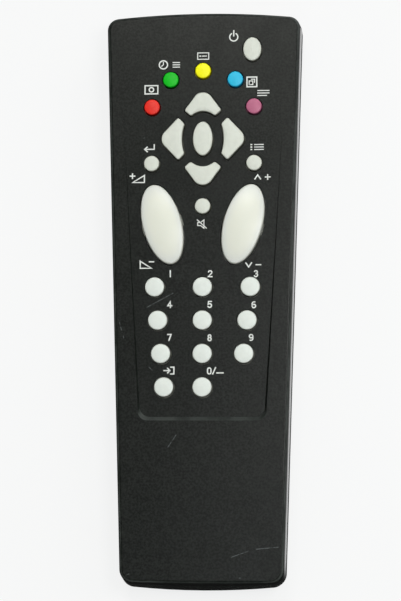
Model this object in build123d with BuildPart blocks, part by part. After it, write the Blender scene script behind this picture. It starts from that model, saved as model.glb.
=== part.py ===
from build123d import *
import math
import os

# A hand-held television remote control, lying on its flat back with the keys up.
# Millimetres. X runs to the right, Y towards the head end with the infrared window, Z up.
# The origin is at the middle of the back, on the surface that the remote lies on.

# Case
case_length = 195.0
head_width = 66.2
tail_width = 54.8
case_height = 20.5
rear_height = 10.5
wall = 2.0
front_wall = 2.8
head_bow = 1.8
tail_bow = 1.5
front_tail_bow = 0.3
head_corner = 4.0
tail_corner = 4.5
least_corner = 1.0
head_lean = 0.9
tail_lean = 2.7
side_lean = 0.3
front_edge_fillet = 1.3
back_edge_fillet = 3.4
seam_height = 0.35
seam_depth = 0.4
lip_height = 1.2
lip_thickness = 0.8
fit = 0.1

# Sunken keypad panel: its floor tilts down towards the tail
panel_head = 35.6
panel_length = 101.8
panel_depth = 1.2
panel_head_width = 54.0
panel_tail_width = 41.4
panel_corner = 3.3
panel_side_lean = 0.7
panel_tail_lean = 1.2

# Keys
key_proud = 1.6
centre_proud = 1.8
rocker_proud = 2.4
key_clearance = 0.35
key_travel = 0.9
key_edge = 0.6
small_key = 5.35
digit_key = 6.6
power_width = 6.25
power_height = 8.1
centre_width = 6.75
centre_height = 11.65
flange_grow = 0.8
flange_thickness = 0.8
flange_clearance = 0.2
plunger_radius = 1.6
pill_radius = 1.5
pill_thickness = 0.3
pill_bond = 0.02
contact_gap = 0.1

# Direction pad: the four arrows stand around the oval centre key
pad_from_head = 44.0
# Each arrow is given as it points up, as distances across and out from the middle
long_arrow = {"tip": 15.8, "flank": (3.06, 14.1), "shoulder": (6.36, 9.62),
              "corner": (4.0, 7.6), "inner": 9.3}
wide_arrow = {"tip": 13.98, "flank": (2.4, 13.0), "shoulder": (7.4, 8.28),
              "corner": (5.05, 6.1), "inner": 6.97}
arrow_shoulder_round = 0.8
arrow_corner_round = 0.9

# Key centres, from the middle of the direction pad
colour_keys = {
    "key_red": (-17.2, 10.9),
    "key_green": (-10.9, 20.2),
    "key_yellow": (0.0, 23.2),
    "key_blue": (10.9, 20.2),
    "key_purple": (17.2, 10.9),
}
command_keys = {
    "key_exit": (-17.25, -8.3),
    "key_menu": (17.25, -8.3),
    "key_mute": (0.0, -22.8),
}
power_place = (16.6, 30.4)
first_row = -50.0
row_pitch = 11.17
first_column = 16.03
column_step = 1.07
number_rows = [["key_1", "key_2", "key_3"], ["key_4", "key_5", "key_6"],
               ["key_7", "key_8", "key_9"], ["key_av", "key_0"]]

# Rockers
rocker_long = 27.6
rocker_short = 13.0
rocker_tilt = 15.0
rocker_x = 13.58
rocker_y = -28.9
rocker_swing = 4.0
rocker_clearance = 0.45
rocker_plunger = 8.5
rocker_ear = 1.1
rocker_ear_width = 4.0
fulcrum_width = 5.0
fulcrum_thickness = 1.0
fulcrum_gap = 0.15
rocker_dome = 1.3

# Silicone mat, board and its parts
mat_thickness = 0.8
mat_gap = 1.9
mat_inset = 1.2
board_thickness = 1.2
board_clearance = 1.1
board_head_gap = 7.0
board_bay_gap = 0.5
pad_thickness = 0.08
web_base_radius = 3.4
web_top_radius = 2.5
web_thickness = 0.35
web_gap = 0.05
pill_hole_clearance = 0.5
led_diameter = 5.0
led_rim = 5.8
led_length = 8.6
led_from_head = 12.8
led_notch_clearance = 0.8
leg_pitch = 2.54
leg_diameter = 0.5
board_screw_places = [(-24.5, 4.4), (24.5, 4.4), (-22.2, -66.6), (22.2, -66.6)]
board_boss = 4.4
board_boss_clearance = 0.4
board_screw_diameter = 1.6
board_screw_head = 3.4
board_screw_head_height = 1.1
board_screw_length = 4.1
contact_margin = 0.35
led_rim_thickness = 1.0
chip_y = -40.0
chip_width = 7.5
chip_length = 17.9
chip_height = 2.3
chip_gap = 0.2
chip_legs_each_side = 14
chip_leg_pitch = 1.27
chip_leg_width = 0.42
chip_leg_thickness = 0.2
chip_leg_reach = 0.7
resonator_place = (-13.0, -28.0)
resonator_width = 7.0
resonator_depth = 3.0
resonator_height = 5.5
capacitor_place = (13.0, -70.0)
capacitor_diameter = 5.0
capacitor_height = 7.0
transistor_place = (8.0, 18.0)
transistor_width = 4.6
transistor_height = 4.8
resistor_place = (14.0, -26.0)
resistor_pitch = 2.2
resistor_columns = 3
resistor_rows = 2
resistor_width = 1.25
resistor_length = 2.0
resistor_thickness = 0.6

# Battery bay, for two AAA cells side by side
cell_diameter = 10.5
cell_length = 44.5
cell_button = 3.8
cell_button_height = 0.8
can_edge = 0.5
cell_gap = 1.3
bay_length = 52.0
bay_from_tail = 5.5
bay_side_clearance = 0.85
bay_wall = 1.2
bay_roof_clearance = 0.6
tab_headroom = 0.5
roof_thickness = 1.4
plate_thickness = 0.4
plate_width = 8.0
tab_width = 3.0
spring_wire = 0.5
spring_turns = 4
spring_base_radius = 3.2
spring_top_radius = 2.2

# Battery cover and the ledge that it slides under
cover_thickness = 1.8
cover_past_screw = 1.0
cover_head_edge = 61.0
cover_clearance = 0.2
cover_top_clearance = 0.3
tongue_width = 1.2
tongue_thickness = 0.8
tongue_clearance = 0.3
ledge_thickness = 1.6
ledge_margin = 2.0
detent_height = 0.2
detent_length = 9.0
detent_width = 0.8
grip_ribs = 7
grip_pitch = 1.6
grip_width = 16.0
grip_depth = 0.6
grip_from_edge = 12.0
arrow_size = 3.2

# Case screws, under the battery cover
screw_from_bay_side = 0.5
screw_from_bay = 7.5
screw_diameter = 2.2
screw_head = 5.0
screw_head_height = 1.6
screw_recess = 2.2
screw_boss = 6.6
front_boss = 5.6
screw_length = 11.4
thread_fit = 0.025
cross_length = 0.6
cross_width = 0.15

# Infrared window and the snap hooks in the head end
window_width = 16.0
window_height = 5.6
window_thickness = 1.2
window_rim = 1.0
window_recess = 0.2
hook_x = 17.0
hook_width = 6.0
hook_thickness = 1.2
hook_clearance = 0.15
hook_reach = 3.1
hook_nub = 0.5
hook_nub_height = 1.0

# Heights and places worked out from the sizes above
front_inside = case_height - front_wall
flange_top = front_inside - flange_clearance
flange_bottom = flange_top - flange_thickness
mat_top = flange_bottom - mat_gap
board_top = mat_top - mat_thickness
board_bottom = board_top - board_thickness
pill_bottom = board_top + pad_thickness + contact_gap + key_travel
pad_centre = case_length / 2 - pad_from_head
panel_start = case_length / 2 - panel_head
cell_pitch = cell_diameter + cell_gap
bay_tail = -case_length / 2 + bay_from_tail
bay_head = bay_tail + bay_length
bay_half_width = cell_pitch / 2 + cell_diameter / 2 + bay_side_clearance
ledge_bottom = cover_thickness + cover_top_clearance
ledge_top = ledge_bottom + ledge_thickness
cell_z = ledge_bottom + cell_diameter / 2 + fit
bay_roof = max(cell_z + cell_diameter / 2 + bay_roof_clearance, board_bottom + tab_headroom)
cover_edge = -case_length / 2 + cover_head_edge
board_tail = bay_head + bay_wall + board_bay_gap
board_head = case_length / 2 - board_head_gap
led_z = (board_top + board_bottom) / 2
led_back = case_length / 2 - led_from_head
screw_y = bay_head - screw_from_bay
screw_x = bay_half_width + bay_wall + screw_boss / 2 + screw_from_bay_side
cover_width = 2 * (screw_x + screw_head / 2 + cover_past_screw)
case_screws_at = [(-screw_x, screw_y), (screw_x, screw_y)]
screw_seat = ledge_bottom + screw_recess
board_screws_at = [(x, pad_centre + y) for x, y in board_screw_places]
groove_width = cover_width + 2 * (tongue_width + tongue_clearance)
ledge_root = cover_thickness * 2 / 3
tongue_bottom = cover_thickness - tongue_thickness


def half_width(y):
    """Half the width of the case where it parts, at a distance y along it."""
    share = y / case_length + 0.5
    return (tail_width + (head_width - tail_width) * share) / 2


def case_outline(height, inset=0.0):
    """The outline of the case at a height, drawn in by an inset: straight tapering sides,
    bowed ends and round corners. Above the seam its ends and sides lean inwards."""
    rise = max(0.0, (height - rear_height) / (case_height - rear_height))
    head = case_length / 2 - head_lean * rise - inset
    tail = -case_length / 2 + tail_lean * rise + inset
    bow_tail = tail_bow + (front_tail_bow - tail_bow) * rise
    drawn_in = side_lean * rise + inset
    wide = half_width(head) - drawn_in
    narrow = half_width(tail) - drawn_in
    with BuildSketch() as outline:
        with BuildLine():
            ThreePointArc((-wide, head - head_bow), (0, head), (wide, head - head_bow))
            Line((wide, head - head_bow), (narrow, tail + bow_tail))
            ThreePointArc((narrow, tail + bow_tail), (0, tail), (-narrow, tail + bow_tail))
            Line((-narrow, tail + bow_tail), (-wide, head - head_bow))
        make_face()
        head_corners = outline.vertices().group_by(Axis.Y)[-1]
        fillet(head_corners, max(head_corner - inset, least_corner))
        tail_corners = outline.vertices().group_by(Axis.Y)[0]
        fillet(tail_corners, max(tail_corner - inset, least_corner))
    return outline.sketch


def head_wall_y(x):
    """How far along the outside of the head end lies at a distance x from the middle."""
    return case_length / 2 - head_bow * (x / half_width(case_length / 2)) ** 2


def case_block(bottom, top, inset=0.0):
    """A solid slice of the case between two heights, drawn in by an inset."""
    with BuildPart() as block:
        with BuildSketch(Plane.XY.offset(bottom)):
            add(case_outline(bottom, inset))
        with BuildSketch(Plane.XY.offset(top)):
            add(case_outline(top, inset))
        loft(ruled=True)
    return block.part


def panel_z(y):
    """Height of the tilted panel floor at a distance y along the case."""
    if y > panel_start:
        return case_height
    return case_height - panel_depth * (panel_start - y) / panel_length


def panel_recess():
    """The sunken keypad panel as a block to cut away: a tapering outline on the tilted floor,
    wider above it so that the side and tail walls lean outwards."""
    tilt = math.atan2(panel_depth, panel_length)
    floor = Plane((0, panel_start, case_height), x_dir=(1, 0, 0),
                  z_dir=(0, -math.sin(tilt), math.cos(tilt)))
    taper = (panel_head_width - panel_tail_width) / 2 / panel_length
    past_head = 4.0
    with BuildPart() as recess:
        for rise in (0.0, 2 * panel_depth):
            side = panel_side_lean * rise / panel_depth
            tail = panel_length + panel_tail_lean * rise / panel_depth
            wide = panel_head_width / 2 + taper * past_head + side
            narrow = panel_head_width / 2 - taper * tail + side
            with BuildSketch(floor.offset(rise)) as outline:
                with BuildLine():
                    Polyline((-wide, past_head), (wide, past_head), (narrow, -tail),
                             (-narrow, -tail), close=True)
                make_face()
                fillet(outline.vertices().group_by(Axis.Y)[0], panel_corner)
        loft(ruled=True)
    return recess.part


def disc(diameter, grow=0.0):
    """The outline of a round key, grown all round."""
    with BuildSketch() as face:
        Circle(diameter / 2 + grow)
    return face.sketch


def oval(width, height, grow=0.0, turn=0.0):
    """The outline of an oval key, grown all round and turned."""
    with BuildSketch() as face:
        Ellipse(width / 2 + grow, height / 2 + grow, rotation=turn)
    return face.sketch


def arrow(shape, turn, grow=0.0):
    """The outline of an arrow key: a round tip, straight flanks, round shoulders and a hollow
    inner side round the centre key. It is drawn pointing up and then turned."""
    flank_x, flank_y = shape["flank"]
    shoulder_x, shoulder_y = shape["shoulder"]
    corner_x, corner_y = shape["corner"]
    with BuildSketch() as face:
        with BuildLine():
            ThreePointArc((-flank_x, flank_y), (0, shape["tip"]), (flank_x, flank_y))
            Line((flank_x, flank_y), (shoulder_x, shoulder_y))
            Line((shoulder_x, shoulder_y), (corner_x, corner_y))
            ThreePointArc((corner_x, corner_y), (0, shape["inner"]), (-corner_x, corner_y))
            Line((-corner_x, corner_y), (-shoulder_x, shoulder_y))
            Line((-shoulder_x, shoulder_y), (-flank_x, flank_y))
        make_face()
        corners = face.vertices().group_by(Axis.Y)
        fillet(corners[0], arrow_corner_round)
        shoulders = face.vertices().filter_by(lambda v: abs(v.Y - shoulder_y) < 0.01)
        fillet(shoulders, arrow_shoulder_round)
        if grow:
            offset(amount=grow)
    return Rot(0, 0, turn) * face.sketch


def push_key_list():
    """Every push key as its name, its place, its outline, its contact and how far it stands up."""
    keys = []
    for name, (x, y) in {**colour_keys, **command_keys}.items():
        keys.append((name, (x, pad_centre + y), lambda grow: disc(small_key, grow), (0, 0), key_proud))
    x, y = power_place
    keys.append(("key_power", (x, pad_centre + y),
                 lambda grow: oval(power_width, power_height, grow), (0, 0), key_proud))
    keys.append(("key_centre", (0, pad_centre),
                 lambda grow: oval(centre_width, centre_height, grow), (0, 0), centre_proud))
    out_long = (long_arrow["tip"] + long_arrow["inner"]) / 2
    out_wide = (wide_arrow["tip"] + wide_arrow["inner"]) / 2
    keys.append(("key_up", (0, pad_centre), lambda grow: arrow(long_arrow, 0, grow),
                 (0, out_long), key_proud))
    keys.append(("key_down", (0, pad_centre), lambda grow: arrow(long_arrow, 180, grow),
                 (0, -out_long), key_proud))
    keys.append(("key_left", (0, pad_centre), lambda grow: arrow(wide_arrow, 90, grow),
                 (-out_wide, 0), key_proud))
    keys.append(("key_right", (0, pad_centre), lambda grow: arrow(wide_arrow, -90, grow),
                 (out_wide, 0), key_proud))
    for row, names in enumerate(number_rows):
        for column, name in enumerate(names):
            x = (column - 1) * (first_column - column_step * row)
            y = pad_centre + first_row - row_pitch * row
            keys.append((name, (x, y), lambda grow: disc(digit_key, grow), (0, 0), key_proud))
    return keys


def contact_places():
    """Where each conductive pill meets the board: one under a push key, two under a rocker."""
    places = [(x + dx, y + dy) for _, (x, y), _, (dx, dy), _ in push_keys]
    lean = math.radians(rocker_tilt)
    for side in (-1, 1):
        for end in (-1, 1):
            x = side * (rocker_x + end * rocker_plunger * math.sin(lean))
            places.append((x, pad_centre + rocker_y + end * rocker_plunger * math.cos(lean)))
    return places


push_keys = push_key_list()
hook_face = head_wall_y(hook_x + hook_width / 2) - wall - hook_clearance
contacts = contact_places()
rockers = {"volume_rocker": -1, "programme_rocker": 1}
os.makedirs("parts", exist_ok=True)


def place_from_pad(place):
    """A place on the board given from the middle of the direction pad."""
    return (place[0], pad_centre + place[1])


def rocker_plane(side):
    """The plane of a rocker key at the height of the back, its long way along Y. The top end
    of each rocker leans outwards."""
    lean = math.radians(-side * rocker_tilt)
    return Plane((side * rocker_x, pad_centre + rocker_y, 0),
                 x_dir=(math.cos(lean), math.sin(lean), 0), z_dir=(0, 0, 1))


# Push keys: a cap with a flange that keeps it under the panel, and a plunger with its pill
for name, (x, y), face, (dx, dy), proud in push_keys:
    with BuildPart() as key:
        with BuildSketch(Plane((x, y, flange_bottom))):
            add(face(0.0))
        extrude(amount=panel_z(y + dy) + proud - flange_bottom)
        fillet(key.faces().sort_by(Axis.Z)[-1].edges(), key_edge)
        with BuildSketch(Plane((x, y, flange_bottom))):
            add(face(flange_grow))
        extrude(amount=flange_thickness)
        with BuildSketch(Plane((x + dx, y + dy, pill_bottom + pill_thickness + pill_bond))):
            Circle(plunger_radius)
        extrude(amount=flange_bottom - pill_bottom - pill_thickness - pill_bond)
        with BuildSketch(Plane((x + dx, y + dy, pill_bottom))):
            Circle(pill_radius)
        extrude(amount=pill_thickness)
    key.part.label = name
    export_step(key.part, f"parts/{name}.step")


# Rockers: a domed oval on a fulcrum rib, kept in by an ear at each end of its pivot line
rocker_pill_drop = rocker_plunger * math.sin(math.radians(rocker_swing))
rocker_pill_bottom = board_top + pad_thickness + contact_gap + rocker_pill_drop
dome_radius = ((rocker_long / 2) ** 2 + rocker_dome ** 2) / (2 * rocker_dome)
for name, side in rockers.items():
    base = rocker_plane(side)
    rocker_top = panel_z(base.origin.Y) + rocker_proud
    with BuildPart() as rocker:
        with BuildSketch(base.offset(flange_bottom)):
            Ellipse(rocker_short / 2, rocker_long / 2)
        extrude(amount=rocker_top - flange_bottom)
        with Locations(base.offset(rocker_top - dome_radius)):
            Sphere(dome_radius, mode=Mode.INTERSECT)
        fillet(rocker.faces().sort_by(Axis.Z)[-1].edges(), key_edge)
        with BuildSketch(base.offset(flange_bottom)):
            Rectangle(rocker_short + 2 * rocker_ear, rocker_ear_width)
        extrude(amount=flange_thickness)
        with BuildSketch(base.offset(mat_top + fulcrum_gap)):
            Rectangle(fulcrum_width, fulcrum_thickness)
        extrude(amount=flange_bottom - mat_top - fulcrum_gap)
        with BuildSketch(base.offset(rocker_pill_bottom + pill_thickness + pill_bond)):
            with Locations((0, rocker_plunger), (0, -rocker_plunger)):
                Circle(plunger_radius)
        extrude(amount=flange_bottom - rocker_pill_bottom - pill_thickness - pill_bond)
        with BuildSketch(base.offset(rocker_pill_bottom)):
            with Locations((0, rocker_plunger), (0, -rocker_plunger)):
                Circle(pill_radius)
        extrude(amount=pill_thickness)
    rocker.part.label = name
    export_step(rocker.part, f"parts/{name}.step")


# Front case: the upper half of the shell, with its panel, key holes, bosses, lip and hooks
panel_cut = panel_recess()
with BuildPart() as lip:
    add(case_block(rear_height - lip_height, rear_height, wall - lip_thickness))
    add(case_block(rear_height - lip_height, rear_height, wall), mode=Mode.SUBTRACT)

with BuildPart() as front_case:
    add(case_block(rear_height, case_height))
    fillet(front_case.faces().sort_by(Axis.Z)[-1].edges(), front_edge_fillet)
    add(case_block(rear_height, front_inside, wall), mode=Mode.SUBTRACT)
    add(panel_cut, mode=Mode.SUBTRACT)
    add(lip.part)
    for _, (x, y), face, _, _ in push_keys:
        with BuildSketch(Plane((x, y, front_inside))):
            add(face(key_clearance))
        extrude(amount=front_wall, mode=Mode.SUBTRACT)
    for side in rockers.values():
        with BuildSketch(rocker_plane(side).offset(front_inside)):
            Ellipse(rocker_short / 2 + rocker_clearance, rocker_long / 2 + rocker_clearance)
        extrude(amount=front_wall, mode=Mode.SUBTRACT)
    # Bosses for the board screws, standing on the board
    with BuildSketch(Plane.XY.offset(board_top)):
        with Locations(*board_screws_at):
            Circle(board_boss / 2)
    extrude(amount=front_inside - board_top + front_wall / 4)
    with BuildSketch(Plane.XY.offset(board_top)):
        with Locations(*board_screws_at):
            Circle(board_screw_diameter / 2 + thread_fit)
    extrude(amount=board_screw_length - board_thickness + fit, mode=Mode.SUBTRACT)
    # Bosses for the case screws, meeting those of the rear case at the seam
    with BuildSketch(Plane.XY.offset(rear_height)):
        with Locations(*case_screws_at):
            Circle(front_boss / 2)
    extrude(amount=front_inside - rear_height + front_wall / 4)
    with BuildSketch(Plane.XY.offset(rear_height)):
        with Locations(*case_screws_at):
            Circle(screw_diameter / 2 + thread_fit)
    extrude(amount=screw_seat + screw_length + fit * 2 - rear_height, mode=Mode.SUBTRACT)
    # The opening for the infrared window, cut up from the seam through wall and lip
    with BuildSketch(Plane.XY.offset(rear_height - lip_height)):
        with Locations((0, case_length / 2)):
            Rectangle(window_width, 2 * (wall + window_thickness))
    extrude(amount=lip_height + window_height, mode=Mode.SUBTRACT)
    # Snap hooks: a tab inside the head wall, with a nub that reaches into the rear case
    for side in (-1, 1):
        with BuildSketch(Plane.XY.offset(rear_height - hook_reach)):
            with Locations((side * hook_x, hook_face - hook_thickness / 2)):
                Rectangle(hook_width, hook_thickness)
        extrude(amount=2 * hook_reach)
        with BuildSketch(Plane.XY.offset(rear_height - hook_reach)):
            with Locations((side * hook_x, hook_face + (hook_clearance + hook_nub) / 2)):
                Rectangle(hook_width, hook_clearance + hook_nub)
        extrude(amount=hook_nub_height)
        with BuildSketch(Plane.XY.offset(rear_height + fit)):
            with Locations((side * hook_x, hook_face + wall / 2)):
                Rectangle(hook_width, wall)
        extrude(amount=hook_reach - fit)
front_case.part.label = "front_case"
export_step(front_case.part, "parts/front_case.step")


# Rear case: the lower half of the shell, with the battery bay and the ledge over the cover
with BuildPart() as rear_hull:
    add(case_block(0, rear_height))
    fillet(rear_hull.faces().sort_by(Axis.Z)[0].edges(), back_edge_fillet)

with BuildPart() as rear_hollow:
    add(case_block(wall, rear_height, wall))
    fillet(rear_hollow.faces().sort_by(Axis.Z)[0].edges(), back_edge_fillet - wall)

with BuildPart() as ledge:
    add(case_block(ledge_root, ledge_top, wall / 2))
    with BuildSketch(Plane.XY.offset(ledge_root)):
        with Locations((0, (cover_edge + ledge_margin - case_length / 2) / 2)):
            Rectangle(groove_width + 2 * ledge_margin, cover_edge + ledge_margin + case_length / 2)
    extrude(amount=ledge_top - ledge_root, mode=Mode.INTERSECT)

with BuildPart() as rear_case:
    add(rear_hull.part)
    add(rear_hollow.part, mode=Mode.SUBTRACT)
    add(ledge.part)
    # Room for the lip of the front case, and the fine shadow gap along the seam
    add(case_block(rear_height - lip_height - fit, rear_height, wall - lip_thickness - fit),
        mode=Mode.SUBTRACT)
    with BuildSketch(Plane.XY.offset(rear_height - seam_height)):
        add(case_outline(0))
        add(case_outline(0, seam_depth), mode=Mode.SUBTRACT)
    extrude(amount=seam_height, mode=Mode.SUBTRACT)
    # Bay walls and roof
    with BuildSketch(Plane.XY.offset(ledge_bottom)):
        with Locations((0, (bay_tail + bay_head) / 2)):
            Rectangle(2 * (bay_half_width + bay_wall), bay_length + 2 * bay_wall)
    extrude(amount=bay_roof + roof_thickness - ledge_bottom)
    # Bosses for the case screws, with a recess for each head
    with BuildSketch(Plane.XY.offset(ledge_bottom)):
        with Locations(*case_screws_at):
            Circle(screw_boss / 2)
    extrude(amount=rear_height - ledge_bottom)
    with Locations(*[Plane((x, y, ledge_bottom), z_dir=(0, 0, -1)) for x, y in case_screws_at]):
        CounterBoreHole(screw_diameter / 2 + cover_clearance, screw_head / 2 + cover_clearance,
                        screw_recess, rear_height - ledge_bottom)
    # The bay itself, open to the back
    with BuildSketch(Plane.XY.offset(ledge_root)):
        with Locations((0, (bay_tail + bay_head) / 2)):
            Rectangle(2 * bay_half_width, bay_length)
    extrude(amount=bay_roof - ledge_root, mode=Mode.SUBTRACT)
    # The pocket and grooves for the cover, open at the tail end
    with BuildSketch():
        with Locations((0, cover_edge + cover_clearance)):
            Rectangle(cover_width + 2 * cover_clearance, case_length, align=(Align.CENTER, Align.MAX))
    extrude(amount=ledge_bottom, mode=Mode.SUBTRACT)
    with BuildSketch(Plane.XY.offset(tongue_bottom - cover_clearance)):
        with Locations((0, cover_edge + cover_clearance)):
            Rectangle(groove_width, case_length, align=(Align.CENTER, Align.MAX))
    extrude(amount=ledge_bottom - tongue_bottom + cover_clearance, mode=Mode.SUBTRACT)
    # Slots in the head wall of the bay for the two terminal tabs
    with BuildSketch(Plane.XY.offset(board_bottom - plate_thickness - cover_clearance)):
        with Locations(*[(side * cell_pitch / 2, bay_head + bay_wall / 2) for side in (-1, 1)]):
            Rectangle(tab_width + 2 * cover_clearance, 2 * bay_wall)
    extrude(amount=plate_thickness + 2 * cover_clearance, mode=Mode.SUBTRACT)
    # Notches for the snap hooks
    for side in (-1, 1):
        with BuildSketch(Plane.XY.offset(rear_height - hook_reach - cover_clearance)):
            with Locations((side * hook_x, hook_face)):
                Rectangle(hook_width + 2 * cover_clearance,
                          2 * (hook_clearance + hook_nub + cover_clearance))
        extrude(amount=hook_nub_height + 2 * cover_clearance, mode=Mode.SUBTRACT)
rear_case.part.label = "rear_case"
export_step(rear_case.part, "parts/rear_case.step")


# Battery cover: a flush door with a tongue along each side, a thumb grip and a detent ridge
with BuildPart() as battery_cover:
    add(rear_hull.part)
    with BuildSketch():
        with Locations((0, cover_edge)):
            Rectangle(cover_width, case_length, align=(Align.CENTER, Align.MAX))
    extrude(amount=cover_thickness, mode=Mode.INTERSECT)
    with BuildSketch(Plane.XY.offset(tongue_bottom)):
        with Locations((0, cover_edge)):
            Rectangle(cover_width + 2 * tongue_width, cover_head_edge - back_edge_fillet,
                      align=(Align.CENTER, Align.MAX))
    extrude(amount=tongue_thickness)
    with BuildSketch(Plane.XY.offset(cover_thickness)):
        with Locations((0, cover_edge - detent_width)):
            Rectangle(detent_length, detent_width)
    extrude(amount=detent_height)
    with BuildSketch():
        with Locations((0, cover_edge - grip_from_edge)):
            with GridLocations(0, grip_pitch, 1, grip_ribs):
                SlotOverall(grip_width, grip_pitch / 2)
    extrude(amount=grip_depth, mode=Mode.SUBTRACT)
    with BuildSketch():
        with Locations((0, cover_edge - 2 * grip_from_edge)):
            RegularPolygon(arrow_size, 3, rotation=-90)
    extrude(amount=grip_depth / 2, mode=Mode.SUBTRACT)
battery_cover.part.label = "battery_cover"
export_step(battery_cover.part, "parts/battery_cover.step")


# Infrared window: a dark plate in the head wall, with a rim that holds it from inside
with BuildPart() as ir_window:
    for width, height, outside in ((window_width - 2 * fit, window_height - fit, window_recess),
                                   (window_width + 2 * window_rim, window_height + window_rim,
                                    wall + fit)):
        with BuildPart(mode=Mode.PRIVATE) as plate:
            add(case_block(rear_height + fit, rear_height + height, outside))
            add(case_block(rear_height, rear_height + 2 * height, wall + fit + window_thickness),
                mode=Mode.SUBTRACT)
            with BuildSketch(Plane.XY.offset(rear_height)):
                with Locations((0, case_length / 2)):
                    Rectangle(width, head_corner * 4)
            extrude(amount=window_height * 2, mode=Mode.INTERSECT)
        add(plate.part)
ir_window.part.label = "ir_window"
export_step(ir_window.part, "parts/ir_window.step")


# Silicone mat under the keys, with a hole at each contact
with BuildPart() as keypad_mat:
    with BuildSketch(Plane.XY.offset(board_top)):
        add(case_outline(rear_height, wall + board_clearance + mat_inset))
        with Locations((0, (board_tail + board_head) / 2)):
            Rectangle(head_width, board_head - board_tail - 2 * mat_inset, mode=Mode.INTERSECT)
        with Locations(*contacts):
            Circle(plunger_radius + pill_hole_clearance, mode=Mode.SUBTRACT)
        with Locations(*board_screws_at):
            Circle(board_boss / 2 + board_boss_clearance, mode=Mode.SUBTRACT)
        with Locations((0, led_back - 2 * led_notch_clearance)):
            Rectangle(led_rim + 4 * led_notch_clearance, board_head - led_back + led_rim,
                      align=(Align.CENTER, Align.MIN), mode=Mode.SUBTRACT)
    extrude(amount=mat_thickness)
keypad_mat.part.label = "keypad_mat"
export_step(keypad_mat.part, "parts/keypad_mat.step")


# Dome webs: one collapsing silicone cone round each plunger, from the mat up to the key
web_height = mat_gap - web_gap
with BuildPart() as dome_web:
    with BuildSketch(Plane.XZ):
        with BuildLine():
            Polyline((web_base_radius, 0), (web_top_radius, web_height),
                     (web_top_radius - web_thickness, web_height),
                     (web_base_radius - web_thickness, 0), close=True)
        make_face()
    revolve(axis=Axis.Z)

with BuildPart() as dome_webs:
    with Locations(*[(x, y, mat_top) for x, y in contacts]):
        add(dome_web.part)
dome_webs.part.label = "dome_webs"
export_step(dome_webs.part, "parts/dome_webs.step")


# Circuit board, with its screw holes and a notch for the infrared diode
with BuildPart() as circuit_board:
    with BuildSketch(Plane.XY.offset(board_bottom)):
        add(case_outline(rear_height, wall + board_clearance))
        with Locations((0, (board_tail + board_head) / 2)):
            Rectangle(head_width, board_head - board_tail, mode=Mode.INTERSECT)
        with Locations(*board_screws_at):
            Circle(board_screw_diameter / 2 + cover_clearance, mode=Mode.SUBTRACT)
        with Locations((0, led_back - led_notch_clearance)):
            Rectangle(led_rim + 2 * led_notch_clearance, board_head - led_back + led_rim,
                      align=(Align.CENTER, Align.MIN), mode=Mode.SUBTRACT)
    extrude(amount=board_thickness)
circuit_board.part.label = "circuit_board"
export_step(circuit_board.part, "parts/circuit_board.step")


# Carbon contacts printed on the board, one under each pill
with BuildPart() as contact_pads:
    with BuildSketch(Plane.XY.offset(board_top)):
        with Locations(*contacts):
            Circle(pill_radius + contact_margin)
    extrude(amount=pad_thickness)
contact_pads.part.label = "contact_pads"
export_step(contact_pads.part, "parts/contact_pads.step")


# Controller chip and its bent legs, under the board
chip_centre = (0, pad_centre + chip_y)
chip_top = board_bottom - chip_gap
with BuildPart() as controller_chip:
    with BuildSketch(Plane((*chip_centre, chip_top - chip_height))):
        Rectangle(chip_width, chip_length)
    extrude(amount=chip_height)
    chamfer(controller_chip.edges().group_by(Axis.Z)[0], chip_gap)
    # The round mark beside its first leg
    mark_y = chip_centre[1] + chip_length / 2 - chip_width / 4
    with Locations(Plane((-chip_width / 4, mark_y, chip_top - chip_height), z_dir=(0, 0, -1))):
        Hole(chip_leg_width, chip_gap)
controller_chip.part.label = "controller_chip"
export_step(controller_chip.part, "parts/controller_chip.step")

leg_middle = chip_top - chip_height / 2
leg_out = chip_width / 2 + chip_leg_reach
with BuildPart() as chip_legs:
    for leg in range(chip_legs_each_side):
        leg_y = chip_centre[1] + (leg - (chip_legs_each_side - 1) / 2) * chip_leg_pitch
        with BuildSketch(Plane((0, leg_y - chip_leg_width / 2, 0), x_dir=(1, 0, 0),
                               z_dir=(0, -1, 0))) as leg_side:
            with BuildLine():
                Polyline((chip_width / 2, leg_middle), (leg_out, leg_middle),
                         (leg_out, board_bottom - chip_leg_thickness),
                         (leg_out + chip_leg_reach, board_bottom - chip_leg_thickness),
                         (leg_out + chip_leg_reach, board_bottom),
                         (leg_out - chip_leg_thickness, board_bottom),
                         (leg_out - chip_leg_thickness, leg_middle + chip_leg_thickness),
                         (chip_width / 2, leg_middle + chip_leg_thickness), close=True)
            make_face()
            mirror(about=Plane.YZ)
        extrude(amount=-chip_leg_width)
chip_legs.part.label = "chip_legs"
export_step(chip_legs.part, "parts/chip_legs.step")


# Infrared diode lying in the board's notch, pointing at the window, and its two legs
led_plane = Plane((0, led_back, led_z), x_dir=(1, 0, 0), z_dir=(0, 1, 0))
with BuildPart() as ir_led:
    with BuildSketch(led_plane):
        Circle(led_rim / 2)
    extrude(amount=led_rim_thickness)
    with BuildSketch(led_plane):
        Circle(led_diameter / 2)
    extrude(amount=led_length - led_diameter / 2)
    with Locations(led_plane.offset(led_length - led_diameter / 2)):
        Sphere(led_diameter / 2)
ir_led.part.label = "ir_led"
export_step(ir_led.part, "parts/ir_led.step")

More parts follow.
